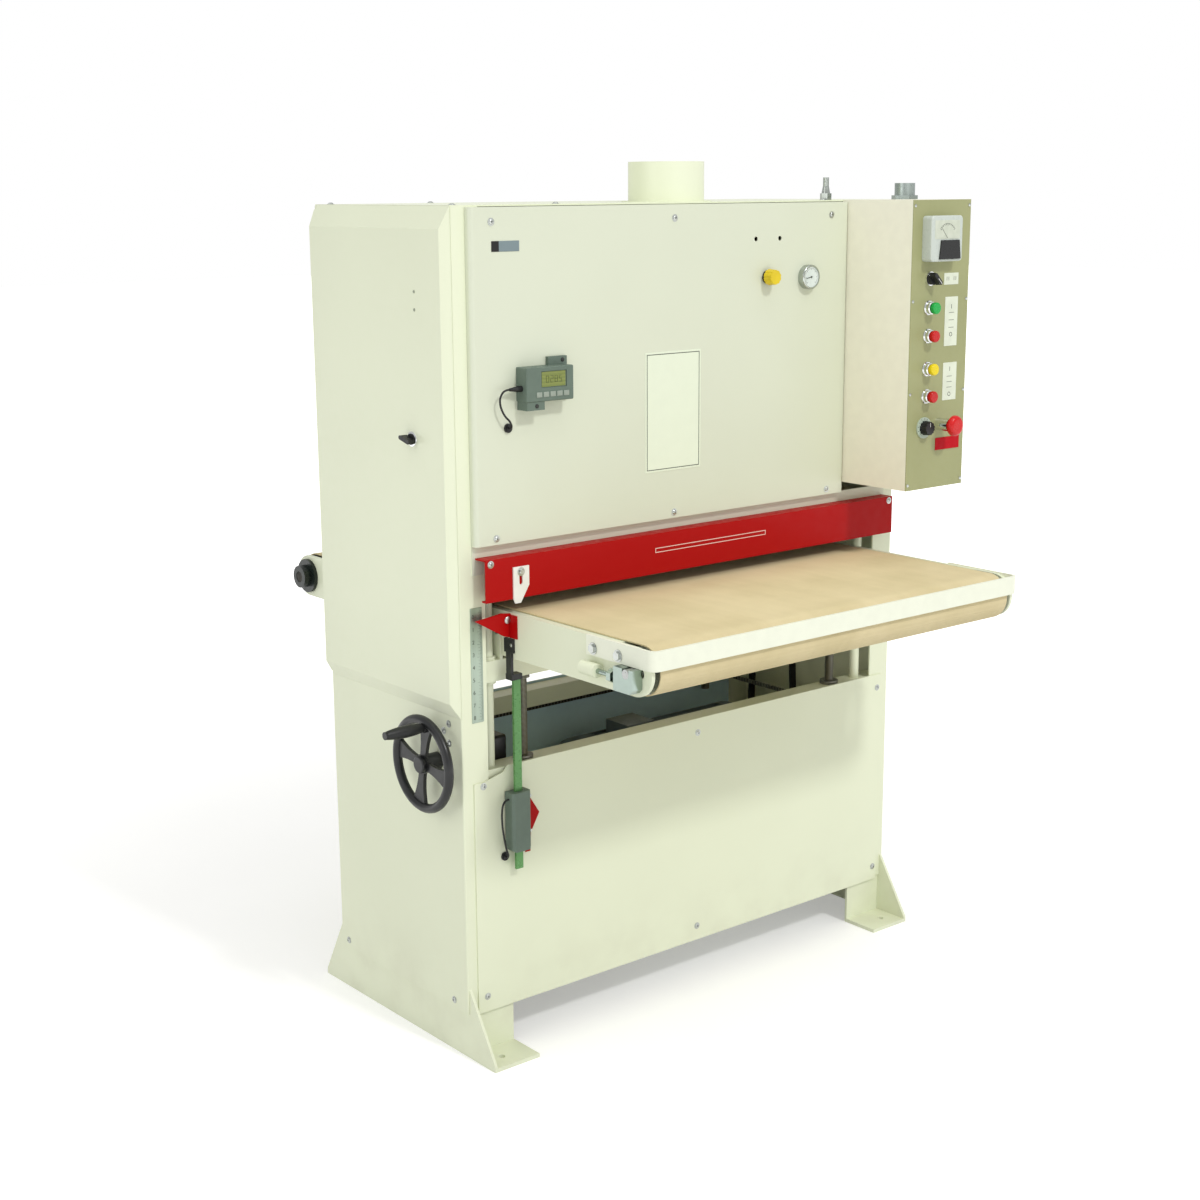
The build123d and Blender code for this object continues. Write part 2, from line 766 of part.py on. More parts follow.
with BuildPart() as ammeter:
    low_x, high_x = meter_x - meter_width / 2, meter_x + meter_width / 2
    low_z, high_z = meter_height - meter_tall / 2, meter_height + meter_tall / 2
    block((low_x, box_face - meter_depth, low_z), (high_x, box_face, high_z))
    fillet(ammeter.edges().filter_by(Axis.Y), meter_corner)
    fillet(ammeter.faces().sort_by(Axis.Y)[0].edges(), 3)
    with BuildSketch(Plane.XZ.offset(-box_face + meter_depth)):
        with BuildLine():
            Polyline((low_x + 24, low_z + 5), (high_x - 8, low_z + 5), (high_x - 13, meter_height - 3),
                     (low_x + 29, meter_height - 3), close=True)
        make_face()
    extrude(amount=meter_cover)
save(ammeter, "ammeter")

# Compressed air: the inlet on the roof, the gauge and the regulator's body on the front cover
with BuildPart() as air_fittings:
    hexagon((air_x, air_y, roof_height), (0, 0, 1), air_nut, air_nut_across)
    rod((air_x, air_y, roof_height), (0, 0, 1), air_height, air_radius)
    with Locations((air_x, air_y, roof_height + air_nut)):
        Cone(9.5, air_radius, 16, align=(Align.CENTER, Align.CENTER, Align.MIN))
    rod((gauge_x, cover_face, gauge_height), (0, -1, 0), gauge_depth, gauge_radius)
    fillet(air_fittings.faces().sort_by(Axis.Y)[0].edges(), 3)
    bore((gauge_x, cover_face - gauge_depth, gauge_height), (0, 1, 0), gauge_recess, gauge_radius - gauge_rim)
    rod((gauge_x, cover_face, gauge_height), (0, 1, 0), cover_depth, gauge_stem_radius)
    regulator_back = cover_face + 12
    rod((regulator_x, regulator_back, regulator_height), (0, -1, 0), 12, regulator_neck_radius)
    rod((regulator_x, cover_face, regulator_height), (0, -1, 0), regulator_collar, regulator_collar_radius)
    bore((regulator_x, regulator_back, regulator_height), (0, -1, 0), 12 + regulator_collar,
         regulator_stem_radius + running_clearance)
save(air_fittings, "air_fittings")

with BuildPart() as regulator_knob:
    rod((regulator_x, cover_face + 8, regulator_height), (0, -1, 0), 16, regulator_stem_radius)
    with BuildSketch(Plane.XZ.offset(-cover_face + regulator_collar + head_gap)):
        with Locations((regulator_x, regulator_height)):
            Circle(regulator_knob_radius)
            with PolarLocations(regulator_knob_radius + 1, 10):
                Circle(2.2, mode=Mode.SUBTRACT)
    extrude(amount=regulator_knob_length, taper=5)
save(regulator_knob, "regulator_knob")

# Digital readout on the front cover, with two eared feet
readout_face = cover_face - readout_depth
foot_face = cover_face - 8
with BuildPart() as readout_case:
    block((readout_left, readout_face, readout_bottom), (readout_right, cover_face, readout_top))
    fillet(readout_case.edges().filter_by(Axis.Y), 3)
    chamfer(readout_case.faces().sort_by(Axis.Y)[0].edges(), 1.5)
    block((readout_right - 42, foot_face, readout_top - 2), (readout_right + 4, cover_face, readout_top + 16))
    block((readout_left + 2, readout_face + 2, readout_bottom - 16),
          (readout_left + 44, cover_face, readout_bottom + 2))
    block((readout_right - 2, foot_face, readout_bottom), (readout_right + 8, cover_face, readout_bottom + 6))
    block((readout_x - 22, readout_face, readout_top - 40),
          (readout_x + 40, readout_face + 2, readout_top - 8), mode=Mode.SUBTRACT)
save(readout_case, "readout_case")

# The lead's plug in the readout and the grommets that the two leads go into
with BuildPart() as cable_grommets:
    rod((readout_left, plug_y, plug_height), (-1, 0, 0), plug_body, 6)
    with Locations(Plane(origin=(readout_left - plug_body, plug_y, plug_height), z_dir=(-1, 0, 0))):
        Cone(5.5, 3, plug_boot, align=(Align.CENTER, Align.CENTER, Align.MIN))
    for x, y, height in ((grommet_x, cover_face, grommet_height),
                         (reader_lead_x, skirt_face, reader_lead_height)):
        rod((x, y, height), (0, -1, 0), grommet_collar, grommet_radius)
        rod((x, y - grommet_collar, height), (0, -1, 0), grommet_nose, grommet_radius - 3)
        bore((x, y, height), (0, -1, 0), grommet_collar + grommet_nose, lead_radius + lead_clearance)
save(cable_grommets, "cable_grommets")


def lead(route, radius):
    """A flexible lead: straight runs joined by tangent arcs as large as the runs allow."""
    points = [Vector(*p) for p in route]
    radii = []
    for before, corner, after in zip(points, points[1:], points[2:]):
        run_in, run_out = corner - before, after - corner
        turn = math.radians(run_in.get_angle(run_out))
        radii.append(0.45 * min(run_in.length, run_out.length) / math.tan(turn / 2))
    with BuildPart() as cord:
        with BuildLine() as path:
            FilletPolyline(*points, radius=radii)
        with BuildSketch(Plane(origin=points[0], z_dir=points[1] - points[0])):
            Circle(radius)
        sweep()
    length = path.wires()[0].length
    straight = math.pi * radius ** 2 * length
    print("lead length", round(length, 1), "radii", [round(r, 1) for r in radii],
          "volume ratio", round(cord.part.volume / straight, 4))
    return cord


# Thin leads: from the readout's plug down into the cover, and from the reader down into the skirt
readout_route = [
    (plug_tip_x, plug_y, plug_height),
    (plug_tip_x - 9, plug_y, plug_height),
    (plug_tip_x - 18, plug_y, plug_height - 6),
    (plug_tip_x - 23, plug_y + 1, plug_height - 18),
    (plug_tip_x - 20, plug_y + 1, plug_height - 35),
    (plug_tip_x - 11, plug_y, plug_height - 51),
    (grommet_x - 8, plug_y - 2, grommet_height + 16),
    (grommet_x - 1, plug_y, grommet_height + 4),
    (grommet_x, cover_face - 9, grommet_height),
    (grommet_x, cover_face - 3, grommet_height),
]
save(lead(readout_route, lead_radius), "readout_lead")

reader_route = [
    (reader_left, scale_y, reader_top - 14),
    (reader_left - 8, scale_y, reader_top - 14),
    (reader_left - 15, scale_y, reader_top - 22),
    (reader_left - 18, scale_y, reader_top - 40),
    (reader_left - 18, scale_y - 1, reader_top - 66),
    (reader_left - 14, scale_y - 1, reader_top - 92),
    (reader_lead_x - 7, scale_y, reader_lead_height + 19),
    (reader_lead_x - 1, scale_y + 1, reader_lead_height + 5),
    (reader_lead_x, skirt_face - 9, reader_lead_height),
    (reader_lead_x, skirt_face - 3, reader_lead_height),
]
save(lead(reader_route, lead_radius), "reader_lead")

# Reader head round the scale, and the red sheet bracket that holds it on the skirt
with BuildPart() as reader_head:
    block((reader_left, reader_face, reader_bottom),
          (reader_left + reader_width, skirt_face - bracket_sheet, reader_top))
    chamfer(reader_head.edges().filter_by(Axis.Z).group_by(Axis.Y)[0], 5)
    chamfer(reader_head.edges().filter_by(Axis.Y).group_by(Axis.Z)[0], 6)
    slot_x, slot_y = scale_width / 2 + reader_slot_gap, scale_thickness / 2 + reader_slot_gap
    block((scale_x - slot_x, scale_y - slot_y, reader_bottom),
          (scale_x + slot_x, scale_y + slot_y, reader_top), mode=Mode.SUBTRACT)
save(reader_head, "reader_head")

with BuildPart() as reader_bracket:
    with BuildSketch(Plane.XZ.offset(-skirt_face)):
        with BuildLine():
            right = scale_x + reader_width / 2
            top, middle, low = reader_top - 6, (reader_top + reader_bottom) / 2, reader_bottom - 16
            Polyline((right - 40, top), (right + 4, top), (right + 40, middle), (right + 18, low + 40),
                     (right + 16, low), (right + 4, low), (right + 4, low + 28), (right - 40, low + 28),
                     close=True)
        make_face()
    extrude(amount=bracket_sheet)
save(reader_bracket, "reader_bracket")

# Table: side plates, bed, sub-beams under the belt, and the eyes that run on the guide rods
beam_high = table_axis - loop_radius - beam_gap
beam_low = table_axis - loop_radius - beam_drop
hollow_half = beam_half_width - beam_wall
with BuildPart() as table_frame:
    for end in (-1, 1):
        with BuildSketch(Plane.YZ.offset(end * (plate_inner + side_plate / 2))):
            with Locations(((front_roller_y + rear_roller_y) / 2, table_axis)):
                SlotCenterToCenter(rear_roller_y - front_roller_y, 2 * loop_radius - 4)
            with Locations((bar_front, belt_top)):
                Rectangle(2 * bar_bend + 1, 2 * bar_height, mode=Mode.SUBTRACT)
            with Locations((front_roller_y, table_axis)):
                SlotOverall(50, 2 * front_shaft_radius + 1, mode=Mode.SUBTRACT)
            with Locations((rear_roller_y, table_axis)):
                Circle(rear_shaft_radius + 0.5, mode=Mode.SUBTRACT)
        extrude(amount=side_plate / 2, both=True)
    bed_top = belt_top - conveyor_thickness - belt_running_gap
    block((-plate_inner, front_roller_y + roller_radius + 6, bed_top - bed_thickness),
          (plate_inner, rear_roller_y - roller_radius - 6, bed_top))
    bed_low = bed_top - bed_thickness
    for y in (bed_beam_front, -lift_y, lift_y, bed_beam_rear):
        block((-plate_inner, y - beam_half_width, table_axis - bed_beam_tall),
              (plate_inner, y + beam_half_width, bed_low))
        block((-plate_inner, y - hollow_half, table_axis - bed_beam_tall + beam_wall),
              (plate_inner, y + hollow_half, bed_low - beam_wall), mode=Mode.SUBTRACT)
    for face in (-1, 1):
        y = face * lift_y
        block((-guide_x - beam_end, y - beam_half_width, beam_low),
              (guide_x + beam_end, y + beam_half_width, beam_high))
        block((-guide_x + 30, y - hollow_half, beam_low), (guide_x - 30, y + hollow_half, beam_high - beam_wall),
              mode=Mode.SUBTRACT)
        for end in (-1, 1):
            cheek = sorted((end * plate_outer, end * (plate_outer + cheek_sheet)))
            block((cheek[0], y - beam_half_width, beam_high), (cheek[1], y + beam_half_width, table_axis + 20))
            eye = (end * guide_x, y, beam_low - bush_overhang)
            eye_length = beam_high - beam_low + 2 * bush_overhang
            rod(eye, (0, 0, 1), eye_length, bush_radius)
            bore(eye, (0, 0, 1), eye_length, guide_radius + running_clearance)
save(table_frame, "table_frame")

# Lift screws hang from the sub-beams and pass through the sprocket nuts in the decks
screw_bottom = deck_top - deck_depth - screw_below_deck
screw_top = beam_high - beam_wall
with BuildPart() as lift_screws:
    for x in (-screw_x, screw_x):
        for y in (-lift_y, lift_y):
            rod((x, y, screw_bottom), (0, 0, 1), screw_top - screw_bottom, screw_radius)
            head_low = beam_low - screw_head_drop
            hexagon((x, y, head_low), (0, 0, 1), screw_top - head_low, screw_head_across)
save(lift_screws, "lift_screws")

# Conveyor belt and rollers
conveyor_belt = strap(
    Plane.YZ, [((y, table_axis), roller_radius + belt_running_gap) for y in (front_roller_y, rear_roller_y)],
    conveyor_thickness - belt_running_gap, belt_width)
save(conveyor_belt, "conveyor_belt")

with BuildPart() as front_roller:
    rod((-belt_width / 2, front_roller_y, table_axis), (1, 0, 0), belt_width, roller_radius)
    rod((-take_up_outer, front_roller_y, table_axis), (1, 0, 0), 2 * take_up_outer, front_shaft_radius)
save(front_roller, "front_roller")

with BuildPart() as rear_roller:
    rod((-belt_width / 2, rear_roller_y, table_axis), (1, 0, 0), belt_width, roller_radius)
    rod((-plate_outer - 25, rear_roller_y, table_axis), (1, 0, 0), 2 * plate_outer + 60, rear_shaft_radius)
save(rear_roller, "rear_roller")

# Flat bar bent round the infeed end of the table, bolted to both side plates
with BuildPart() as front_bar:
    with BuildSketch(Plane.XY.offset(belt_top - bar_height)):
        with BuildLine():
            FilletPolyline((-bar_outer, bar_front + bar_return), (-bar_outer, bar_front), (bar_outer, bar_front),
                           (bar_outer, bar_front + bar_return), radius=bar_bend)
            offset(amount=bar_strip, side=Side.LEFT)
        make_face()
    extrude(amount=bar_height)
    for end in (-1, 1):
        for setback in bar_bolt_setback:
            hexagon((end * bar_outer, bar_front + bar_return - setback, belt_top - bar_height / 2 - 5),
                    (end, 0, 0), bar_bolt_head, bar_bolt_across)
save(front_bar, "front_bar")

# Roller mounts: U-shaped take-up yokes pulled by a long bolt in front, and flange bearings behind
with BuildPart() as roller_mounts:
    bar_low = belt_top - bar_height
    for end in (-1, 1):
        bolt_x = end * (plate_outer + take_up_bolt_offset)
        low, high = sorted((end * (plate_outer + fitting_gap), end * take_up_outer))
        near, far = front_roller_y - take_up_front, front_roller_y + take_up_rear
        block((low, near, table_axis - take_up_drop), (high, far, bar_low - 0.5))
        chamfer(roller_mounts.edges().filter_by(Axis.X).group_by(Axis.Y)[0].sort_by(Axis.Z)[0], 8)
        block((low, front_roller_y - front_shaft_radius - running_clearance, table_axis),
              (high, front_roller_y + front_shaft_radius + running_clearance, bar_low), mode=Mode.SUBTRACT)
        bore((low, front_roller_y, table_axis), (1, 0, 0), high - low, front_shaft_radius + running_clearance)
        sleeve_near, sleeve_far = far + take_up_bolt_start, far + take_up_bolt_start + take_up_sleeve
        rod((bolt_x, far, take_up_height), (0, 1, 0), sleeve_far - far, take_up_bolt_radius)
        hexagon((bolt_x, far + 6, take_up_height), (0, 1, 0), take_up_nut, 2 * take_up_nut)
        rod((bolt_x, sleeve_near, take_up_height), (0, 1, 0), take_up_sleeve, take_up_sleeve_radius)
        low, high = sorted((end * (plate_outer + fitting_gap), bolt_x))
        block((low, sleeve_near, take_up_height - take_up_bolt_radius),
              (high, sleeve_far, take_up_height + take_up_bolt_radius))
    rod((-plate_outer, rear_roller_y, table_axis), (-1, 0, 0), rear_flange, rear_flange_radius)
    rod((-plate_outer, rear_roller_y, table_axis), (-1, 0, 0), rear_boss, rear_boss_radius)
    bore((-plate_outer, rear_roller_y, table_axis), (-1, 0, 0), rear_boss, rear_shaft_radius + running_clearance)
save(roller_mounts, "roller_mounts")

# Red pointer that reads on the rule of the left column
pointer_y = front_face - pointer_forward
pointer_low = belt_top - 52
with BuildPart() as scale_pointer:
    with BuildSketch(Plane.XZ.offset(-pointer_y)):
        with BuildLine():
            edge = -plate_outer
            Polyline((edge - pointer_reach, belt_top - 8), (edge - 22, belt_top - 1), (edge, belt_top - 4),
                     (edge, pointer_low), (edge - 16, pointer_low + 4), close=True)
        make_face()
    extrude(amount=bracket_sheet)
    block((-plate_outer - bracket_sheet, pointer_y - bracket_sheet - 22, pointer_low),
          (-plate_outer, pointer_y - bracket_sheet, belt_top - 6))
save(scale_pointer, "scale_pointer")

# Linear scale that hangs from the table and slides through the reader
with BuildPart() as linear_scale:
    block((scale_x - scale_width / 2, scale_y - scale_thickness / 2, scale_bottom),
          (scale_x + scale_width / 2, scale_y + scale_thickness / 2, scale_top))
    arm = -plate_outer - scale_arm
    block((arm, scale_y - 14, table_axis - 34), (-plate_outer, scale_y + 14, table_axis - 6))
    block((arm, scale_y - 10, scale_top - 6), (scale_x + 8, scale_y + 10, scale_top + 6))
    block((arm, scale_y - 8, scale_top), (-plate_outer, scale_y + 8, table_axis - 20))
save(linear_scale, "linear_scale")

# Gearmotor on the outfeed roller
gearbox_x = plate_outer + fitting_gap
box_width, box_depth, box_tall = gearmotor_box
box_front = rear_roller_y - box_depth / 2
with BuildPart() as feed_motor:
    block((gearbox_x, box_front, table_axis + gearmotor_rise - box_tall),
          (gearbox_x + box_width, box_front + box_depth, table_axis + gearmotor_rise))
    fillet(feed_motor.edges().filter_by(Axis.X), 12)
    barrel = (gearbox_x + box_width / 2 + 2, box_front, table_axis - 8)
    rod(barrel, (0, -1, 0), gearmotor_length, gearmotor_radius)
    rod((barrel[0], box_front - gearmotor_length, barrel[2]), (0, -1, 0), gearmotor_fan_cover, gearmotor_radius + 3)
    bore((gearbox_x, rear_roller_y, table_axis), (1, 0, 0), 40, rear_shaft_radius + running_clearance)
save(feed_motor, "feed_motor")

# Sprocket nuts in the decks, one for each lift screw
def sprocket(centre, height, radius, teeth):
    """A toothed plate: a disc with a round seat cut for each roller of the chain."""
    with BuildSketch(Plane.XY.offset(height - sprocket_thickness / 2)) as outline:
        with Locations(centre):
            Circle(radius + tooth_height)
            with PolarLocations(radius, teeth):
                Circle(roller_seat, mode=Mode.SUBTRACT)
    return extrude(outline.sketch, amount=sprocket_thickness)


for row, y in (("front", -lift_y), ("rear", lift_y)):
    for column, x in (("left", -screw_x), ("right", screw_x)):
        with BuildPart() as sprocket_nut:
            flange_low = deck_top + fitting_gap
            rod((x, y, flange_low), (0, 0, 1), nut_flange, nut_flange_radius)
            rod((x, y, chain_level), (0, 0, 1), flange_low + nut_flange / 2 - chain_level, nut_radius)
            sprocket((x, y), chain_level, sprocket_radius, sprocket_teeth)
            bore((x, y, chain_level - sprocket_thickness), (0, 0, 1),
                 flange_low + nut_flange + sprocket_thickness - chain_level, screw_radius + nut_clearance)
        save(sprocket_nut, f"sprocket_nut_{row}_{column}")

lift_chain = strap(
    Plane.XY.offset(chain_level),
    [((x, y), chain_inner) for x in (-screw_x, screw_x) for y in (-lift_y, lift_y)],
    chain_thickness, chain_height)
save(lift_chain, "lift_chain")

# Right-angle drive from the handwheel's shaft down to the chain, on a plate inside the left sheet
gear_low = wheel_height - gearbox_below_shaft
boss_low = gear_low - gearbox_boss
with BuildPart() as lift_gearbox:
    block((-inner_face, wheel_y - gearbox_plate_half, gear_low),
          (-inner_face + gearbox_plate, wheel_y + gearbox_plate_half, wheel_height + gearbox_plate_above_shaft))
    block((-inner_face + gearbox_plate, wheel_y - gearbox_half, gear_low),
          (output_x + gearbox_boss_radius + 7, wheel_y + gearbox_half, wheel_height + gearbox_above_shaft))
    fillet(lift_gearbox.edges().filter_by(Axis.X).group_by(SortBy.LENGTH)[-1], 6)
    rod((output_x, wheel_y, boss_low), (0, 0, 1), gearbox_boss, gearbox_boss_radius)
    bore((output_x, wheel_y, boss_low), (0, 0, 1), gearbox_boss + output_socket, output_radius + running_clearance)
    bore((-inner_face, wheel_y, wheel_height), (1, 0, 0), shaft_socket, wheel_shaft_radius + running_clearance)
save(lift_gearbox, "lift_gearbox")

with BuildPart() as drive_sprocket:
    output_low = chain_level - sprocket_thickness
    rod((output_x, wheel_y, output_low), (0, 0, 1), gear_low + output_socket - 4 - output_low, output_radius)
    sprocket((output_x, wheel_y), chain_level, drive_sprocket_radius - tooth_height, drive_sprocket_teeth)
save(drive_sprocket, "drive_sprocket")

# Handwheel: round rim, four spokes that broaden towards the rim, hub and shaft, and a stud for the grip
grip_angle = math.radians(spoke_angle + 90)
grip_y = wheel_y + grip_circle * math.cos(grip_angle)
grip_z = wheel_height + grip_circle * math.sin(grip_angle)
with BuildSketch() as spoke:
    with BuildLine():
        neck, broad, waist = 9.0, 24.0, 12.0
        ThreePointArc((12, -neck), (55, -waist), (rim_circle, -broad))
        Line((rim_circle, -broad), (rim_circle, broad))
        ThreePointArc((rim_circle, broad), (55, waist), (12, neck))
        Line((12, neck), (12, -neck))
    make_face()
with BuildPart() as handwheel:
    with Locations(Plane(origin=(rim_x, wheel_y, wheel_height), z_dir=(1, 0, 0))):
        Torus(rim_circle, wheel_rim)
    with BuildSketch(Plane.YZ.offset(rim_x + 2)):
        with Locations((wheel_y, wheel_height)):
            Circle(wheel_boss_radius)
            with PolarLocations(0, spoke_count, start_angle=spoke_angle):
                add(spoke.sketch)
    extrude(amount=wheel_web / 2, both=True)
    rod((rim_x - 12, wheel_y, wheel_height), (1, 0, 0), wheel_offset + 10, wheel_hub_radius)
    fillet(handwheel.faces().filter_by(Axis.X).sort_by(Axis.X)[0].edges(), 4)
    rod((rim_x, wheel_y, wheel_height), (1, 0, 0),
        wheel_offset + frame_sheet + shaft_socket - 4, wheel_shaft_radius)
    rod((rim_x - grip_seat, grip_y, grip_z), (1, 0, 0), grip_seat + 2, grip_radius - 1)
    stud_end = rim_x - grip_seat - grip_length - 4
    rod((stud_end, grip_y, grip_z), (1, 0, 0), grip_length + grip_seat, grip_stud_radius)
    rod((stud_end, grip_y, grip_z), (1, 0, 0), 3.4, grip_radius - 4)
save(handwheel, "handwheel")

grip_start = rim_x - grip_seat - fitting_gap
with BuildPart() as handwheel_grip:
    with BuildSketch(Plane(origin=(grip_start, grip_y, grip_z), x_dir=(-1, 0, 0), z_dir=(0, 0, 1))):
        with BuildLine():
            Polyline((0, grip_radius - 3), (0, 0), (grip_length, 0), (grip_length, grip_radius - 4))
            ThreePointArc((grip_length, grip_radius - 4), (grip_length * 0.6, grip_radius), (0, grip_radius - 3))
        make_face()
    revolve(axis=Axis((rim_x, grip_y, grip_z), (1, 0, 0)))
    bore((grip_start, grip_y, grip_z), (-1, 0, 0), grip_length, grip_stud_radius + running_clearance)
save(handwheel_grip, "handwheel_grip")

# Left door: a shallow pan with sloping borders, hung on concealed pins
door_back = -half_width - door_gap
door_rear = half_depth - door_rear_inset
with BuildPart() as left_door:
    with BuildSketch(Plane.XZ.offset(-door_rear)):
        with BuildLine():
            Polyline((door_back, door_bottom), (-door_face, door_bottom + door_bottom_slope),
                     (-door_face, roof_height - door_top_slope), (door_back, roof_height - 1), close=True)
        make_face()
    extrude(amount=door_rear + half_depth)
    with BuildSketch(Plane.XY.offset(door_bottom)):
        with BuildLine():
            Polyline((door_back, -half_depth), (-door_face, -half_depth + door_front_slope),
                     (-door_face, door_rear), (door_back, door_rear), close=True)
        make_face()
    extrude(amount=roof_height - door_bottom, mode=Mode.INTERSECT)
    back = left_door.faces().sort_by(Axis.X)[-1]
    offset(amount=-door_sheet, openings=back)
    block((-hinge_x + 6, hinge_y, door_bottom), (door_back, door_rear, roof_height), mode=Mode.SUBTRACT)
    for height in hinge_heights:
        block((-door_face + door_sheet, hinge_y + hinge_barrel_radius + hinge_gap, height - hinge_barrel - 1),
              (door_back, door_rear, height + hinge_barrel + 1), mode=Mode.SUBTRACT)
        for start in (height - 2 * hinge_barrel, height + hinge_barrel + hinge_gap):
            length = hinge_barrel - hinge_gap
            rod((-hinge_x, hinge_y, start), (0, 0, 1), length, hinge_barrel_radius)
            block((-door_face + door_sheet, hinge_y - hinge_leaf / 2, start),
                  (-hinge_x, hinge_y + hinge_leaf / 2, start + length))
            bore((-hinge_x, hinge_y, start), (0, 0, 1), length, hinge_pin_radius + running_clearance)
    bore((-door_face, latch_y, latch_height), (1, 0, 0), door_sheet, latch_spindle_radius + running_clearance)
save(left_door, "left_door")

# Wing latch of the door, with a cam on the inner end of its spindle
cam_x = -inner_face + 0.6
with BuildPart() as door_latch:
    rod((-door_face - 10, latch_y, latch_height), (1, 0, 0), cam_x + door_face + 10, latch_spindle_radius)
    rod((-door_face - latch_standoff - fitting_gap, latch_y, latch_height), (1, 0, 0), latch_standoff, 11)
    wing_length, wing_width, wing_height = latch_wing
    with BuildSketch(Plane.YZ.offset(-door_face - latch_standoff - wing_height)):
        with Locations((latch_y, latch_height)):
            SlotOverall(wing_length, wing_width, rotation=latch_tilt)
    extrude(amount=wing_height)
    block((cam_x, latch_y - 6, latch_height - 6),
          (cam_x + latch_cam, latch_y + 6, latch_height + latch_cam_reach))
save(door_latch, "door_latch")

# Head frame: hollow beam on the right frame, end plates, a removable lock bar on the left, the air cylinder
plate_low = drum_axis - head_plate_drop
plate_outside = head_plate_face + head_end_plate
shaft_bore = drum_shaft_radius + running_clearance
beam_hollow = beam_half_depth - head_beam_wall
with BuildPart() as head_frame:
    block((-plate_outside + 3, drum_y - beam_half_depth, beam_bottom),
          (inner_face, drum_y + beam_half_depth, beam_top))
    block((-head_plate_face, drum_y - beam_hollow, beam_bottom + head_beam_wall),
          (inner_face - 12, drum_y + beam_hollow, beam_top - head_beam_wall), mode=Mode.SUBTRACT)
    for end in (-1, 1):
        low, high = sorted((end * head_plate_face, end * plate_outside))
        block((low, drum_y - head_plate_half, plate_low), (high, drum_y + head_plate_half, beam_top))
        bore((low, drum_y, drum_axis), (1, 0, 0), head_end_plate, shaft_bore)
        x = end * yoke_pin_x
        rod((x, drum_y, beam_bottom), (0, 0, 1), beam_top - beam_bottom, guide_pin_radius + 8)
        bore((x, drum_y, beam_bottom), (0, 0, 1), beam_top - beam_bottom, guide_pin_radius + running_clearance)
    rod((0, drum_y, beam_top), (0, 0, 1), cylinder_height, cylinder_radius)
    bore((0, drum_y, beam_top + cylinder_floor), (0, 0, 1), cylinder_height, piston_radius + running_clearance)
    lock_y = half_depth - frame_sheet
    lock_top = lock_bar_low + lock_bar_tall
    block((-inner_face, -lock_y, lock_bar_low), (-inner_face + lock_bar_thickness, lock_y, lock_top))
    block((-inner_face + lock_bar_thickness, drum_y - 30, lock_bar_low), (-plate_outside, drum_y + 30, lock_top))
save(head_frame, "head_frame")

# Contact drum with its shaft and belt pulley
def pulley(y, height, radius):
    """A flat-belt pulley with a rim on each side."""
    low = drive_x - drive_width / 2
    rod((low, y, height), (1, 0, 0), drive_width, radius)
    for x in (low - pulley_flange, low + drive_width):
        rod((x, y, height), (1, 0, 0), pulley_flange, radius + drive_belt_thickness + 2)


with BuildPart() as contact_drum:
    rod((-drum_length / 2, drum_y, drum_axis), (1, 0, 0), drum_length, drum_radius)
    shaft_left, shaft_right = -plate_outside - 12, drive_x + drive_width
    rod((shaft_left, drum_y, drum_axis), (1, 0, 0), shaft_right - shaft_left, drum_shaft_radius)
    pulley(drum_y, drum_axis, drum_pulley_radius)
save(contact_drum, "contact_drum")

with BuildPart() as motor_pulley:
    shaft_left = motor_right - motor_socket
    rod((shaft_left, motor_y, motor_height), (1, 0, 0), shaft_right - shaft_left, motor_shaft_radius)
    pulley(motor_y, motor_height, motor_pulley_radius)
save(motor_pulley, "motor_pulley")

drive_belt = strap(
    Plane.YZ.offset(drive_x),
    [((drum_y, drum_axis), drum_pulley_radius + drive_clearance),
     ((motor_y, motor_height), motor_pulley_radius + drive_clearance)],
    drive_belt_thickness, drive_width - 1)
save(drive_belt, "drive_belt")

# Main motor on its shelf, with cooling ribs along the barrel and the terminal box on top
with BuildPart() as main_motor:
    rod((motor_left, motor_y, motor_height), (1, 0, 0), motor_bell, motor_radius)
    fillet(main_motor.faces().sort_by(Axis.X)[0].edges(), motor_bell_fillet)
    with BuildSketch(Plane.YZ.offset(motor_left + motor_end)):
        with Locations((motor_y, motor_height)):
            Circle(motor_radius - motor_barrel_step)
            with PolarLocations(motor_radius - motor_barrel_step - 2, motor_ribs):
                Rectangle(24, 5)
    extrude(amount=motor_right - motor_left - 2 * motor_end)
    rod((motor_right - motor_end, motor_y, motor_height), (1, 0, 0), motor_end, motor_radius)
    bore((motor_right - motor_socket, motor_y, motor_height), (1, 0, 0), motor_socket,
         motor_shaft_radius + running_clearance)
    foot_half = motor_radius - 20
    for x in (motor_left + 90, motor_right - 90):
        block((x, motor_y - foot_half, motor_shelf), (x + motor_foot, motor_y + foot_half, motor_shelf + 14))
        for side in (-1, 1):
            low, high = sorted((side * 60, side * 95))
            block((x, motor_y + low, motor_shelf), (x + motor_foot, motor_y + high, motor_height - 70))
    box_low = motor_height + motor_radius - 45
    block((30, motor_y - 80, box_low), (110, motor_y, box_low + 78))
save(main_motor, "main_motor")

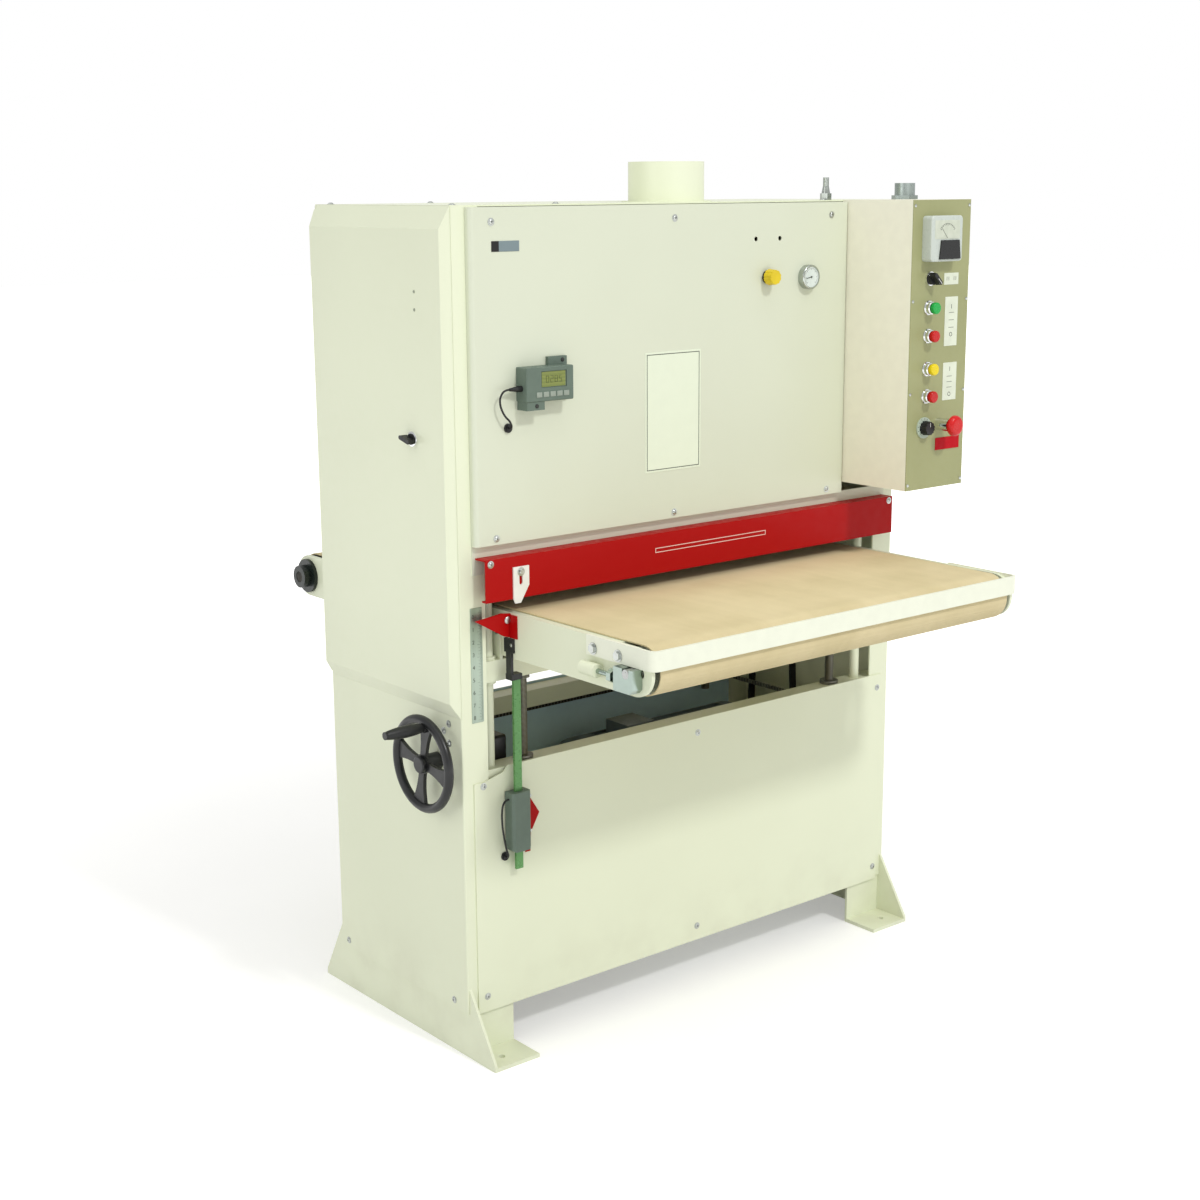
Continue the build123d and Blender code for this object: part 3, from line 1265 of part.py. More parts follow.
# Tension yoke on two guide pins, and the roller that it carries
with BuildPart() as tension_yoke:
    cheek_inside = drum_length / 2 + journal_gap
    cheek_outside = cheek_inside + yoke_cheek
    block((-cheek_outside, drum_y - yoke_half_depth, yoke_bottom),
          (cheek_outside, drum_y + yoke_half_depth, yoke_bottom + yoke_height))
    for end in (-1, 1):
        low, high = sorted((end * cheek_inside, end * cheek_outside))
        block((low, drum_y - yoke_half_depth, yoke_bottom), (high, drum_y + yoke_half_depth, tension_axis + 26))
        bore((low, drum_y, tension_axis), (1, 0, 0), yoke_cheek, tension_journal_radius + running_clearance)
        pin_low = beam_bottom + 30
        rod((end * yoke_pin_x, drum_y, pin_low), (0, 0, 1), yoke_bottom - pin_low, guide_pin_radius)
    piston_low = beam_top + cylinder_floor + tension_stroke + 6
    rod((0, drum_y, piston_low), (0, 0, 1), yoke_bottom - piston_low, piston_radius)
save(tension_yoke, "tension_yoke")

with BuildPart() as tension_roller:
    rod((-drum_length / 2, drum_y, tension_axis), (1, 0, 0), drum_length, tension_radius)
    rod((-cheek_outside, drum_y, tension_axis), (1, 0, 0), 2 * cheek_outside, tension_journal_radius)
save(tension_roller, "tension_roller")

sanding_belt = strap(
    Plane.YZ,
    [((drum_y, drum_axis), drum_radius + abrasive_gap), ((drum_y, tension_axis), tension_radius + abrasive_gap)],
    abrasive_thickness, abrasive_width)
save(sanding_belt, "sanding_belt")

# Pinch rollers before and after the drum
for name, y in (("infeed_pinch_roller", infeed_pinch_y), ("outfeed_pinch_roller", outfeed_pinch_y)):
    with BuildPart() as pinch_roller:
        rod((-pinch_length / 2, y, pinch_axis), (1, 0, 0), pinch_length, pinch_radius)
        pinch_end = pinch_length / 2 + pinch_journal
        rod((-pinch_end, y, pinch_axis), (1, 0, 0), 2 * pinch_end, pinch_journal_radius)
    save(pinch_roller, name)

# Hex screws of the covers, skirts, guard, roof and side frames
cover_heights = (cover_bottom + 12, roof_height - 31)
skirt_heights = (skirt_bottom + 33, skirt_top - 32)
rear_heights = (rear_cover_bottom + 14, roof_height - 31)
guard_screw_height = guard_top - 9
screws = [((x, cover_face, z), (0, -1, 0)) for x in cover_screw_x for z in cover_heights]
screws += [((x, skirt_face, z), (0, -1, 0)) for x in skirt_screw_x for z in skirt_heights]
screws += [((x, half_depth + guard_sheet, z), (0, 1, 0)) for x in rear_screw_x for z in skirt_heights]
screws += [((x, half_depth + cover_depth, z), (0, 1, 0)) for x in rear_cover_screw_x for z in rear_heights]
screws += [((side * guard_screw_x, guard_face, guard_screw_height), (0, -1, 0)) for side in (-1, 1)]
screws += [((side * half_width, y, foot_screw_height), (side, 0, 0)) for side in (-1, 1) for y in (-192, 211)]
screws += [((-half_width, y, wheel_height + rise), (-1, 0, 0)) for y, rise in gearbox_screws]
screws += [((x, y, roof_height), (0, 0, 1)) for x in roof_screw_x for y in (-226, 200)]
with BuildPart() as cover_screws:
    for start, along in screws:
        hexagon(start, along, screw_head, screw_across_flats)
save(cover_screws, "cover_screws")
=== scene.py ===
"""Wide belt sander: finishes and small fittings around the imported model."""
import math

import bmesh
import bpy
from mathutils import Matrix, Vector


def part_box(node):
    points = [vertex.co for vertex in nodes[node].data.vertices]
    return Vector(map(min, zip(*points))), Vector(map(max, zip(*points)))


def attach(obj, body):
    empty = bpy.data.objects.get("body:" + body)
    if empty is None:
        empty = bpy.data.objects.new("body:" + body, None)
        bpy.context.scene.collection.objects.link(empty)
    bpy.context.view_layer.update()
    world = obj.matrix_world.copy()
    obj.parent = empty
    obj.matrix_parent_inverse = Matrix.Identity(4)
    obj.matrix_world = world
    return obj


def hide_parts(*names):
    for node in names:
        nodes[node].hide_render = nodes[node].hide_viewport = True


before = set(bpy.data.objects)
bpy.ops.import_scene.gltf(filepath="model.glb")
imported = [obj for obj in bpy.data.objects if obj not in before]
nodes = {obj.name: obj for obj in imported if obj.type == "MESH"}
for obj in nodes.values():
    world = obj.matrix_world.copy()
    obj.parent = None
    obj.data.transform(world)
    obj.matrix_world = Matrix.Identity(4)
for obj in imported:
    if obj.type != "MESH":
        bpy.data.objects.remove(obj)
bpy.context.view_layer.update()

# Studio: a pale floor, an even white surround and soft lamps at a plain level.
# The camera stands at eye level off the left front corner, turned a hair off level.
camera_place = Vector((-2.6183, -3.1145, 1.7325))
yaw, pitch, roll = math.radians(39.32), math.radians(-12.54), math.radians(-0.37)
ahead = Vector((math.sin(yaw) * math.cos(pitch), math.cos(yaw) * math.cos(pitch), math.sin(pitch)))
level_right = Vector((math.cos(yaw), -math.sin(yaw), 0))
level_up = level_right.cross(ahead)
right = math.cos(roll) * level_right + math.sin(roll) * level_up
up = math.cos(roll) * level_up - math.sin(roll) * level_right
lens = bpy.data.cameras.new("camera")
lens.sensor_width = 36
lens.lens = 55.82
lens.clip_end = 100
camera = bpy.data.objects.new("camera", lens)
camera.matrix_world = Matrix.Translation(camera_place) @ Matrix((right, up, -ahead)).transposed().to_4x4()
bpy.context.collection.objects.link(camera)
bpy.context.scene.camera = camera
bpy.context.scene.view_settings.view_transform = "Standard"


class Wire:
    """An output in a finish's node tree. Sums and comparisons add Math nodes, and add() any other node."""

    def __init__(self, tree, socket):
        self.tree = tree
        self.socket = socket

    def add(self, kind, settings, values, output=0):
        """A node with its settings made first, then its sockets set or linked."""
        node = self.tree.nodes.new("ShaderNode" + kind)
        for name, setting in settings.items():
            setattr(node, name, setting)
        for name, value in values.items():
            if isinstance(value, Wire):
                self.tree.links.new(value.socket, node.inputs[name])
            else:
                node.inputs[name].default_value = value
        return Wire(self.tree, node.outputs[output])

    def math(self, operation, first, second=0.0):
        return self.add("Math", {"operation": operation}, {0: first, 1: second})

    def __add__(self, other):
        return self.math("ADD", self, other)

    __radd__ = __add__

    def __mul__(self, other):
        return self.math("MULTIPLY", self, other)

    __rmul__ = __mul__

    def __sub__(self, other):
        return self.math("SUBTRACT", self, other)

    def __rsub__(self, other):
        return self.math("SUBTRACT", other, self)

    def __gt__(self, other):
        return self.math("GREATER_THAN", self, other)

    def __lt__(self, other):
        return self.math("LESS_THAN", self, other)

    def __abs__(self):
        return self.math("ABSOLUTE", self)

    def sine(self):
        return self.math("SINE", self)

    def axes(self):
        """The three coordinates of a vector."""
        split = self.add("SeparateXYZ", {}, {"Vector": self}).socket.node
        return [Wire(self.tree, output) for output in split.outputs]

    def stretched(self, scale):
        return self.add("Mapping", {}, {"Vector": self, "Scale": scale})

    def noise(self, scale, detail=2.0):
        return self.add("TexNoise", {}, {"Vector": self, "Scale": scale, "Detail": detail})

    def ramp(self, low, high, first=0.0, last=1.0):
        """Runs smoothly from first to last while this goes from low to high."""
        return self.add("MapRange", {"interpolation_type": "SMOOTHSTEP"},
                        {"Value": self, "From Min": low, "From Max": high, "To Min": first, "To Max": last})

    def blend(self, low, high):
        """Between two colours, by this as the share of the second."""
        return self.add("Mix", {"data_type": "RGBA"}, {0: self, 6: low, 7: high}, output=2)

    def bump(self, depth, strength=1.0):
        return self.add("Bump", {}, {"Height": self, "Distance": depth, "Strength": strength})

    def into(self, shader, socket):
        self.tree.links.new(self.socket, shader.inputs[socket])


def tint(red, green, blue):
    """A colour from its screen values, as the shaders take it."""
    return tuple(((value / 255 + 0.055) / 1.055) ** 2.4 for value in (red, green, blue)) + (1.0,)


def new_finish(name, **constants):
    """A material, its shader with constant sockets set, and the wire of Object coordinates."""
    material = bpy.data.materials.new(name)
    material.use_nodes = True
    shader = material.node_tree.nodes["Principled BSDF"]
    for socket, value in constants.items():
        shader.inputs[socket.replace("_", " ")].default_value = value
    place = Wire(material.node_tree, material.node_tree.nodes.new("ShaderNodeTexCoord").outputs["Object"])
    return material, shader, place


floor_mesh = bmesh.new()
bmesh.ops.create_grid(floor_mesh, x_segments=1, y_segments=1, size=30)
floor_data = bpy.data.meshes.new("floor")
floor_mesh.to_mesh(floor_data)
floor_mesh.free()
floor = bpy.data.objects.new("floor", floor_data)
bpy.context.collection.objects.link(floor)
pale_floor, floor_shader, floor_place = new_finish("pale_floor", Roughness=0.9)
floor_shader.inputs["Specular IOR Level"].default_value = 0.1
floor_place.noise(1.5, 4).blend(tint(228, 228, 226), tint(236, 236, 234)).into(floor_shader, "Base Color")
rays = pale_floor.node_tree.nodes.new("ShaderNodeLightPath")
seen = Wire(pale_floor.node_tree, rays.outputs["Is Camera Ray"])
seen = seen.math("MAXIMUM", seen, Wire(pale_floor.node_tree, rays.outputs["Is Glossy Ray"]))
distance = floor_place.add("VectorMath", {"operation": "LENGTH"}, {0: floor_place}, output="Value")
floor_shader.inputs["Emission Strength"].default_value = 1.0
glow = seen * distance.ramp(1.0, 5.0, 0.32, 1.0)
glow.blend((0, 0, 0, 1), (1, 1, 1, 1)).into(floor_shader, "Emission Color")
floor_data.materials.append(pale_floor)

world = bpy.data.worlds.new("surround")
world.use_nodes = True
bpy.context.scene.world = world
surround = world.node_tree.nodes["Background"]
sky = world.node_tree.nodes.new("ShaderNodeLightPath")
seen = Wire(world.node_tree, sky.outputs["Is Camera Ray"])
seen = seen.math("MAXIMUM", seen, Wire(world.node_tree, sky.outputs["Is Transmission Ray"]))
seen.ramp(0, 1, 0.7, 1.0).into(surround, "Strength")
surround.inputs["Color"].default_value = (1, 1, 1, 1)

for name, place, aim, power, width in (
        ("key_lamp", (0.54, -8.55, 9.2), (0.1, -0.2, 0.8), 470, 1.0),
        ("front_lamp", (-0.6, -5.2, 1.2), (0, 0, 0.5), 12, 3.2),
        ("left_lamp", (-4.6, -0.6, 2.4), (-0.4, 0, 0.9), 28, 2.4),
        ("top_lamp", (-0.2, -0.6, 4.6), (0, -0.1, 1.0), 24, 3.0)):
    light = bpy.data.lights.new(name, "AREA")
    light.energy = power
    light.size = width
    lamp = bpy.data.objects.new(name, light)
    lamp.matrix_world = Matrix.Translation(place) @ (
        (Vector(place) - Vector(aim)).to_track_quat("Z", "Y").to_matrix().to_4x4())
    bpy.context.collection.objects.link(lamp)


# Casing: folded sheet steel, welded and powder coated in one cream.
# The two side frames stand on welded feet and carry the covers, the skirt and the roof.
# The front cover is painted a shade greyer than the rest: painted shade, for the dimmer light that falls on
# it.
def dress(material, *names):
    """Puts a finish on nodes of the model."""
    for name in names:
        for material_slot in nodes[name].material_slots:
            material_slot.material = material


def enamel(name, colour, roughness=0.36, dust=0.0, shine=0.4):
    """Baked paint: slight clouding, the grain of sprayed paint, and dust that thickens near the floor."""
    material, shader, place = new_finish(name, Coat_Roughness=0.25, Specular_IOR_Level=shine)
    paler = tuple(min(1, value * 1.02 + 0.002) for value in colour[:3]) + (1,)
    duller = tuple(value * 0.965 for value in colour[:3]) + (1,)
    cloud = place.noise(1.3, 3)
    coloured = cloud.ramp(0.3, 0.7).blend(duller, paler)
    if dust:
        low = place.axes()[2].ramp(0.3, 0.0) * place.noise(9, 4).ramp(0.35, 0.75)
        coloured = (low * dust).blend(coloured, tint(176, 170, 146))
    coloured.into(shader, "Base Color")
    place.noise(60, 3).ramp(0.3, 0.7, roughness - 0.05, roughness + 0.09).into(shader, "Roughness")
    cloud.ramp(0.3, 0.7, 0.2 * shine, 0.5 * shine).into(shader, "Coat Weight")
    place.noise(420, 2).bump(0.0002, 0.35).into(shader, "Normal")
    return material


cream = enamel("cream_enamel", tint(229, 234, 207), dust=0.22)
dress(cream, "left_side_frame", "right_side_frame", "cross_members", "front_skirt",
      "roof_panel", "left_door", "head_frame", "tension_yoke", "table_frame")
# Painted shade: the front cover gets the cream darkened to a greyer tint.
dress(enamel("front_cover_shaded_enamel", tint(214, 219, 198)), "front_cover")


# Cover screws: zinc-plated pan heads with a cross recess, each on its own washer.
# They hold the covers, the skirts, the roof and the guard, and replace the model's plain hex heads.
def turned(outline, steps=20):
    """A solid of revolution about Z from (radius, height) points, first and last on the axis."""
    mesh = bmesh.new()
    points = [mesh.verts.new((radius, 0, height)) for radius, height in outline]
    edges = [mesh.edges.new(pair) for pair in zip(points, points[1:])]
    bmesh.ops.spin(mesh, geom=points + edges, cent=(0, 0, 0), axis=(0, 0, 1), angle=2 * math.pi,
                   steps=steps, use_merge=True)
    bmesh.ops.remove_doubles(mesh, verts=mesh.verts, dist=1e-6)
    bmesh.ops.recalc_face_normals(mesh, faces=mesh.faces)
    return mesh


def block(low, high, bevel=0.0, segments=2):
    """A cuboid between two corners, its edges rounded by the bevel."""
    mesh = bmesh.new()
    bmesh.ops.create_cube(mesh, size=1)
    low, high = Vector(low), Vector(high)
    bmesh.ops.scale(mesh, vec=high - low, verts=mesh.verts)
    bmesh.ops.translate(mesh, vec=(low + high) / 2, verts=mesh.verts)
    if bevel:
        bmesh.ops.bevel(mesh, geom=mesh.edges, affect="EDGES", offset=bevel, segments=segments, profile=0.5,
                        material=-1)
    return mesh


def at(place, direction=(0, 0, 1)):
    """The move that stands a shape made about Z on a place, facing a direction."""
    turn = Vector((0, 0, 1)).rotation_difference(Vector(direction))
    return Matrix.Translation(place) @ turn.to_matrix().to_4x4()


def put(mesh, part, *moves):
    """Adds a copy of a small shape to a piece's mesh at each move."""
    data = bpy.data.meshes.new("part")
    part.to_mesh(data)
    part.free()
    for move in moves or (Matrix.Identity(4),):
        copy = data.copy()
        copy.transform(move)
        mesh.from_mesh(copy)
        bpy.data.meshes.remove(copy)
    bpy.data.meshes.remove(data)


smooth_below = math.radians(35)


def piece(name, mesh, material, body):
    """The finished object of a mesh, riding on a body, smooth where its faces meet at a small angle."""
    for edge in mesh.edges:
        edge.smooth = len(edge.link_faces) == 2 and edge.calc_face_angle(0) < smooth_below
    for face in mesh.faces:
        face.smooth = True
    data = bpy.data.meshes.new(name)
    mesh.to_mesh(data)
    mesh.free()
    made = bpy.data.objects.new(name, data)
    bpy.context.collection.objects.link(made)
    data.materials.append(material)
    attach(made, body)
    return made


def bare_metal(name, colour, roughness, grain=(1, 1, 1), depth=0.0):
    """Metal with a lay: fine noise drawn out along the way that it was turned, ground or rolled."""
    material, shader, place = new_finish(name, Metallic=1.0)
    lay = place.stretched(grain).noise(90, 3)
    darker = tuple(value * 0.8 for value in colour[:3]) + (1,)
    lay.ramp(0.3, 0.7).blend(darker, colour).into(shader, "Base Color")
    lines = lay.ramp(0.3, 0.7, -0.07, 0.07)
    patches = place.noise(9, 3).ramp(0.3, 0.7, roughness - 0.05, roughness + 0.08)
    (lines + patches).into(shader, "Roughness")
    if depth:
        lay.bump(depth, 0.4).into(shader, "Normal")
    return material


zinc = bare_metal("zinc_plate", tint(196, 200, 196), 0.34)
head = turned([(0, 0), (0.0075, 0), (0.0075, 0.0008), (0.0052, 0.0010), (0.0050, 0.0021), (0.0040, 0.0030),
               (0.0024, 0.0034), (0.0009, 0.0034), (0.0006, 0.0026), (0, 0.0026)], 16)
screw_places = [((x, -0.256, z), (0, -1, 0)) for x in (-0.534, -0.076, 0.378) for z in (1.069, 1.669)]
screw_places += [((x, -0.243, z), (0, -1, 0)) for x in (-0.568, 0.006, 0.578) for z in (0.125, 0.572)]
screw_places += [((x, 0.243, z), (0, 1, 0)) for x in (-0.568, 0.006, 0.568) for z in (0.125, 0.572)]
screw_places += [((x, 0.256, z), (0, 1, 0)) for x in (-0.56, 0, 0.56) for z in (1.024, 1.669)]
screw_places += [((x, -0.276, 1.025), (0, -1, 0)) for x in (-0.564, 0.564)]
screw_places += [((side * 0.615, y, 0.114), (side, 0, 0)) for side in (-1, 1) for y in (-0.192, 0.211)]
screw_places += [((-0.615, y, z), (-1, 0, 0)) for y, z in ((-0.196, 0.7), (-0.178, 0.682), (-0.196, 0.66))]
screw_places += [((x, y, 1.7), (0, 0, 1)) for x in (-0.6, -0.357, 0.38) for y in (-0.226, 0.2)]
heads = bmesh.new()
put(heads, head, *[at(place, direction) for place, direction in screw_places])
crosses = bmesh.new()
for turn in (0.4, 0.4 + math.pi / 2):
    bar = block((-0.0024, -0.0005, 0.0030), (0.0024, 0.0005, 0.00352))
    bmesh.ops.rotate(bar, cent=(0, 0, 0), matrix=Matrix.Rotation(turn, 3, "Z"), verts=bar.verts)
    put(crosses, bar, *[at(place, direction) for place, direction in screw_places])
screws = piece("screw_heads", heads, zinc, "root")
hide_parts("cover_screws")
recess_dark, recess_shader, recess_place = new_finish("recess_shadow", Roughness=0.8)
recess_place.noise(300).blend(tint(40, 42, 40), tint(66, 68, 64)).into(recess_shader, "Base Color")
piece("screw_crosses", crosses, recess_dark, "root")


# Guard: a red folded strip over the infeed, with a thin pale frame line on its face,
# and the white plastic tab that shows the greatest cut, held by a screw in its slot.
red = enamel("red_enamel", tint(172, 2, 4), roughness=0.42, shine=0.12)
dress(red, "front_guard", "reader_bracket", "scale_pointer")
pale_line = enamel("pale_line_print", tint(232, 208, 200), roughness=0.5)
frame_line = bmesh.new()
for low, high in (((-0.145, 0.994), (0.171, 0.9955)), ((-0.145, 1.0025), (0.171, 1.004)),
                  ((-0.145, 0.9955), (-0.1435, 1.0025)), ((0.1695, 0.9955), (0.171, 1.0025))):
    put(frame_line, block((low[0], -0.2763, low[1]), (high[0], -0.2758, high[1])))
piece("guard_frame_line", frame_line, pale_line, "root")


def plastic(name, colour, roughness=0.42, grain=0.00008, cast=0.92):
    """Moulded plastic: one colour with a faint cast, and the fine grain of the mould."""
    material, shader, place = new_finish(name, Specular_IOR_Level=0.4)
    darker = tuple(value * cast for value in colour[:3]) + (1,)
    place.noise(30, 3).ramp(0.3, 0.7).blend(darker, colour).into(shader, "Base Color")
    place.noise(150, 3).ramp(0.3, 0.7, roughness - 0.06, roughness + 0.08).into(shader, "Roughness")
    place.noise(1400, 2).bump(grain, 0.5).into(shader, "Normal")
    return material


white_plastic = plastic("white_plastic", tint(240, 240, 232))
black_plastic = plastic("black_plastic", tint(26, 27, 27))
dress(white_plastic, "thickness_stop")
stop_screw = bmesh.new()
put(stop_screw, turned([(0, 0), (0.0085, 0), (0.0085, 0.001), (0.0056, 0.0012), (0.0054, 0.004),
                        (0.0046, 0.0048), (0, 0.0048)]), at((-0.494, -0.2793, 1.003), (0, -1, 0)))
put(stop_screw, turned([(0, 0), (0.003, 0), (0.003, 0.0036), (0, 0.0036)]),
    at((-0.494, -0.276, 1.003), (0, -1, 0)))
piece("thickness_stop_screw", stop_screw, zinc, "root")


# Control box and panel: a cream box with a zinc conduit fitting, closed by a satin panel.
# The panel is olive grey, held by small screws down both edges, and carries plain legend plates.
def parted(name, first, *others):
    """One material of several finishes: the first, and each other one where its mask is 1.
    A finish is its colour, roughness and metal share."""
    material, shader, place = new_finish(name, Specular_IOR_Level=0.4)
    colour, roughness, metal = first
    for mask_of, finish in others:
        mask = mask_of(*place.axes())
        colour = mask.blend(colour, finish[0])
        roughness = mask.ramp(0, 1, roughness, finish[1])
        metal = mask.ramp(0, 1, metal, finish[2])
    fine = place.noise(40, 3).ramp(0.3, 0.7, 0.97, 1.0)
    grained = colour.add("VectorMath", {"operation": "SCALE"}, {"Vector": colour, "Scale": fine})
    grained.into(shader, "Base Color")
    (roughness + place.noise(120, 3).ramp(0.3, 0.7, -0.05, 0.07)).into(shader, "Roughness")
    metal.into(shader, "Metallic")
    place.noise(500, 2).bump(0.0002, 0.3).into(shader, "Normal")
    return material


cream_paint = (tint(229, 234, 207), 0.36, 0)
zinc_metal = (tint(196, 200, 196), 0.34, 1)
steel_metal = (tint(186, 188, 186), 0.28, 1)
chrome_metal = (tint(232, 234, 234), 0.12, 1)
black_paint = (tint(34, 36, 36), 0.4, 0)
# The box's cream is painted paler than the casing's: painted light, for the brighter light that falls on
# the box.
dress(parted("control_box_lit_enamel", (tint(246, 244, 226), 0.36, 0),
             (lambda x, y, z: z > 1.7005, (tint(158, 168, 164), 0.3, 0.9))), "control_box")

panel_finish, panel_shader, panel_place = new_finish("panel_enamel", Specular_IOR_Level=0.4)
olive = panel_place.noise(4, 3).ramp(0.3, 0.7).blend(tint(156, 158, 112), tint(164, 166, 120))
olive.into(panel_shader, "Base Color")
panel_place.noise(70, 3).ramp(0.3, 0.7, 0.36, 0.5).into(panel_shader, "Roughness")
panel_place.noise(700, 2).bump(0.00015, 0.4).into(panel_shader, "Normal")
dress(panel_finish, "control_panel")

panel_face, plate_face, mark_face = -0.4430, -0.4438, -0.4441
panel_screws = bmesh.new()
put(panel_screws, turned([(0, 0), (0.0036, 0), (0.0034, 0.0012), (0.0022, 0.0018), (0, 0.0019)], 14),
    *[at((x, panel_face, z), (0, -1, 0)) for x in (0.4355, 0.6095) for z in (1.092, 1.290, 1.488, 1.688)])
piece("panel_screws", panel_screws, zinc, "root")

legend_white = plastic("legend_white", tint(226, 232, 212), roughness=0.5)
legends = bmesh.new()
for left, right_edge, low, high in ((0.534, 0.581, 1.520, 1.545), (0.540, 0.582, 1.388, 1.494),
                                    (0.540, 0.585, 1.270, 1.352)):
    put(legends, block((left, plate_face, low), (right_edge, panel_face, high), 0.0003, 1))
piece("legend_plates", legends, legend_white, "root")

# Engraved marks on the legends: a bar for on, a ring for off, and strokes beside the selector
mark_ink = plastic("mark_ink", tint(70, 76, 66), roughness=0.6)
marks = bmesh.new()
ring = turned([(0.0036, 0), (0.0046, 0), (0.0046, 0.0003), (0.0036, 0.0003), (0.0036, 0)], 24)
put(marks, ring, *[at((x, plate_face, z), (0, -1, 0)) for x, z in ((0.561, 1.413), (0.562, 1.283))])
for x, z in ((0.561, 1.473), (0.562, 1.338)):
    put(marks, block((x - 0.0006, mark_face, z - 0.0046), (x + 0.0006, plate_face, z + 0.0046)))
for x in (0.543, 0.549, 0.566, 0.572):
    put(marks, block((x - 0.0005, mark_face, 1.529), (x + 0.0005, plate_face, 1.537)))
for z in (1.428, 1.444, 1.460, 1.298, 1.310, 1.322):
    put(marks, block((0.553, mark_face, z - 0.0004), (0.570, plate_face, z + 0.0004)))
piece("legend_marks", marks, mark_ink, "root")

red_plate = bmesh.new()
put(red_plate, block((0.522, -0.4440, 1.162), (0.601, panel_face, 1.189), 0.0003, 1))
plate_red = enamel("red_plate_enamel", tint(190, 6, 26), roughness=0.5, shine=0.12)
piece("red_plate", red_plate, plate_red, "root")


# Buttons, selector, dial and emergency stop: moulded heads in chromed collars.
# The selector and the dial turn on black knobs with a white line, the stop is a red mushroom.
chrome = bare_metal("chrome_plate", tint(228, 230, 230), 0.14)
dial_plate = (tint(184, 198, 180), 0.4, 0)
dress(parted("bezel_metal", chrome_metal, (lambda x, y, z: (z < 1.245) * (x < 0.508), dial_plate)),
      "button_bezels")
for node, colour in (("start_button", (20, 168, 70)), ("stop_button", (196, 6, 8)),
                     ("feed_start_button", (238, 214, 20)), ("feed_stop_button", (196, 6, 8)),
                     ("estop_button", (208, 8, 10))):
    dress(plastic(node + "_plastic", tint(*colour), roughness=0.3, grain=0.00003), node)
dress(black_plastic, "selector_knob", "speed_dial", "door_latch", "handwheel_grip", "cable_grommets")
pointer_white = plastic("pointer_white", tint(236, 236, 230))
knob_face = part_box("selector_knob")[0].y
selector_line = block((-0.0007, knob_face - 0.0003, -0.0145), (0.0007, knob_face + 0.0003, 0.001),
                      0.0001, 1)
bmesh.ops.rotate(selector_line, cent=(0, 0, 0), matrix=Matrix.Rotation(math.radians(-45), 3, "Y"),
                 verts=selector_line.verts)
bmesh.ops.translate(selector_line, vec=(0.487, 0, 1.535), verts=selector_line.verts)
piece("selector_line", selector_line, pointer_white, "selector_knob")
dial_line = block((-0.0007, -0.4635, 0.003), (0.0007, -0.4630, 0.0125), 0.0002, 1)
bmesh.ops.translate(dial_line, vec=(0.482, 0, 1.215), verts=dial_line.verts)
piece("dial_line", dial_line, pointer_white, "speed_dial")

# Chromed ring under each cap, as the buttons of the panel have, and the scale of the dial plate
collars = bmesh.new()
put(collars, turned([(0.0136, 0), (0.0160, 0), (0.0160, 0.0020), (0.0150, 0.0032), (0.0136, 0.0032),
                     (0.0136, 0)], 32),
    *[at((0.487, panel_face, z), (0, -1, 0)) for z in (1.473, 1.413, 1.342, 1.283)])
piece("button_rings", collars, chrome, "root")
dial_scale = bmesh.new()
tick = block((-0.0004, -0.0002, 0.0175), (0.0004, 0.0, 0.0215))
ticks = [Matrix.Translation((0.482, -0.446, 1.215)) @ Matrix.Rotation(math.radians(turn), 4, "Y")
         for turn in range(-135, 136, 27)]
put(dial_scale, tick, *ticks)
piece("dial_scale", dial_scale, mark_ink, "root")


# Ammeter: a square moulded meter, pale grey with a clear front over a white scale,
# and a black lower cover over the movement.
pale_case = (tint(200, 208, 200), 0.3, 0)
black_case = (tint(20, 22, 22), 0.3, 0)
dress(parted("meter_body", pale_case, (lambda x, y, z: y < -0.4692, black_case)), "ammeter")
dial_white, dial_shader, dial_place = new_finish("dial_white", Roughness=0.6)
dial_print = dial_place.noise(60, 2).ramp(0.3, 0.7).blend(tint(208, 218, 212), tint(222, 230, 224))
dial_print.into(dial_shader, "Base Color")
meter_card, card_shader, card_place = new_finish("meter_card", Roughness=0.5)
card_print = card_place.noise(60, 2).ramp(0.3, 0.7).blend(tint(198, 204, 186), tint(208, 213, 196))
card_print.into(card_shader, "Base Color")
meter_face = bmesh.new()
put(meter_face, block((0.470, -0.4694, 1.6185), (0.550, -0.4688, 1.6575), 0.0002, 1))
piece("ammeter_face", meter_face, meter_card, "root")
meter_pivot = Vector((0.510, 0, 1.6205))
meter_marks = bmesh.new()
for step in range(11):
    turn = math.radians(-50 + 10 * step)
    long = 0.0045 if step % 5 == 0 else 0.003
    put(meter_marks, block((-0.0004, -0.4697, 0.030 - long), (0.0004, -0.4694, 0.030)),
        Matrix.Translation(meter_pivot) @ Matrix.Rotation(turn, 4, "Y"))
put(meter_marks, block((-0.0004, -0.4698, 0.0), (0.0004, -0.4696, 0.027)),
    Matrix.Translation(meter_pivot) @ Matrix.Rotation(math.radians(-42), 4, "Y"))
arc = bmesh.new()
arc_section = ((0.0300, -0.4694), (0.0305, -0.4694), (0.0305, -0.4697), (0.0300, -0.4697))
ends = [arc.verts.new((radius, y, 0)) for radius, y in arc_section]
arc.faces.new(ends)
bmesh.ops.spin(arc, geom=arc.verts[:] + arc.edges[:] + arc.faces[:], cent=(0, 0, 0), axis=(0, 1, 0),
               angle=math.radians(-100), steps=20)
bmesh.ops.rotate(arc, cent=(0, 0, 0), matrix=Matrix.Rotation(math.radians(-40), 3, "Y"), verts=arc.verts)
bmesh.ops.translate(arc, vec=meter_pivot, verts=arc.verts)
bmesh.ops.recalc_face_normals(arc, faces=arc.faces)
put(meter_marks, arc)
piece("ammeter_marks", meter_marks, mark_ink, "root")


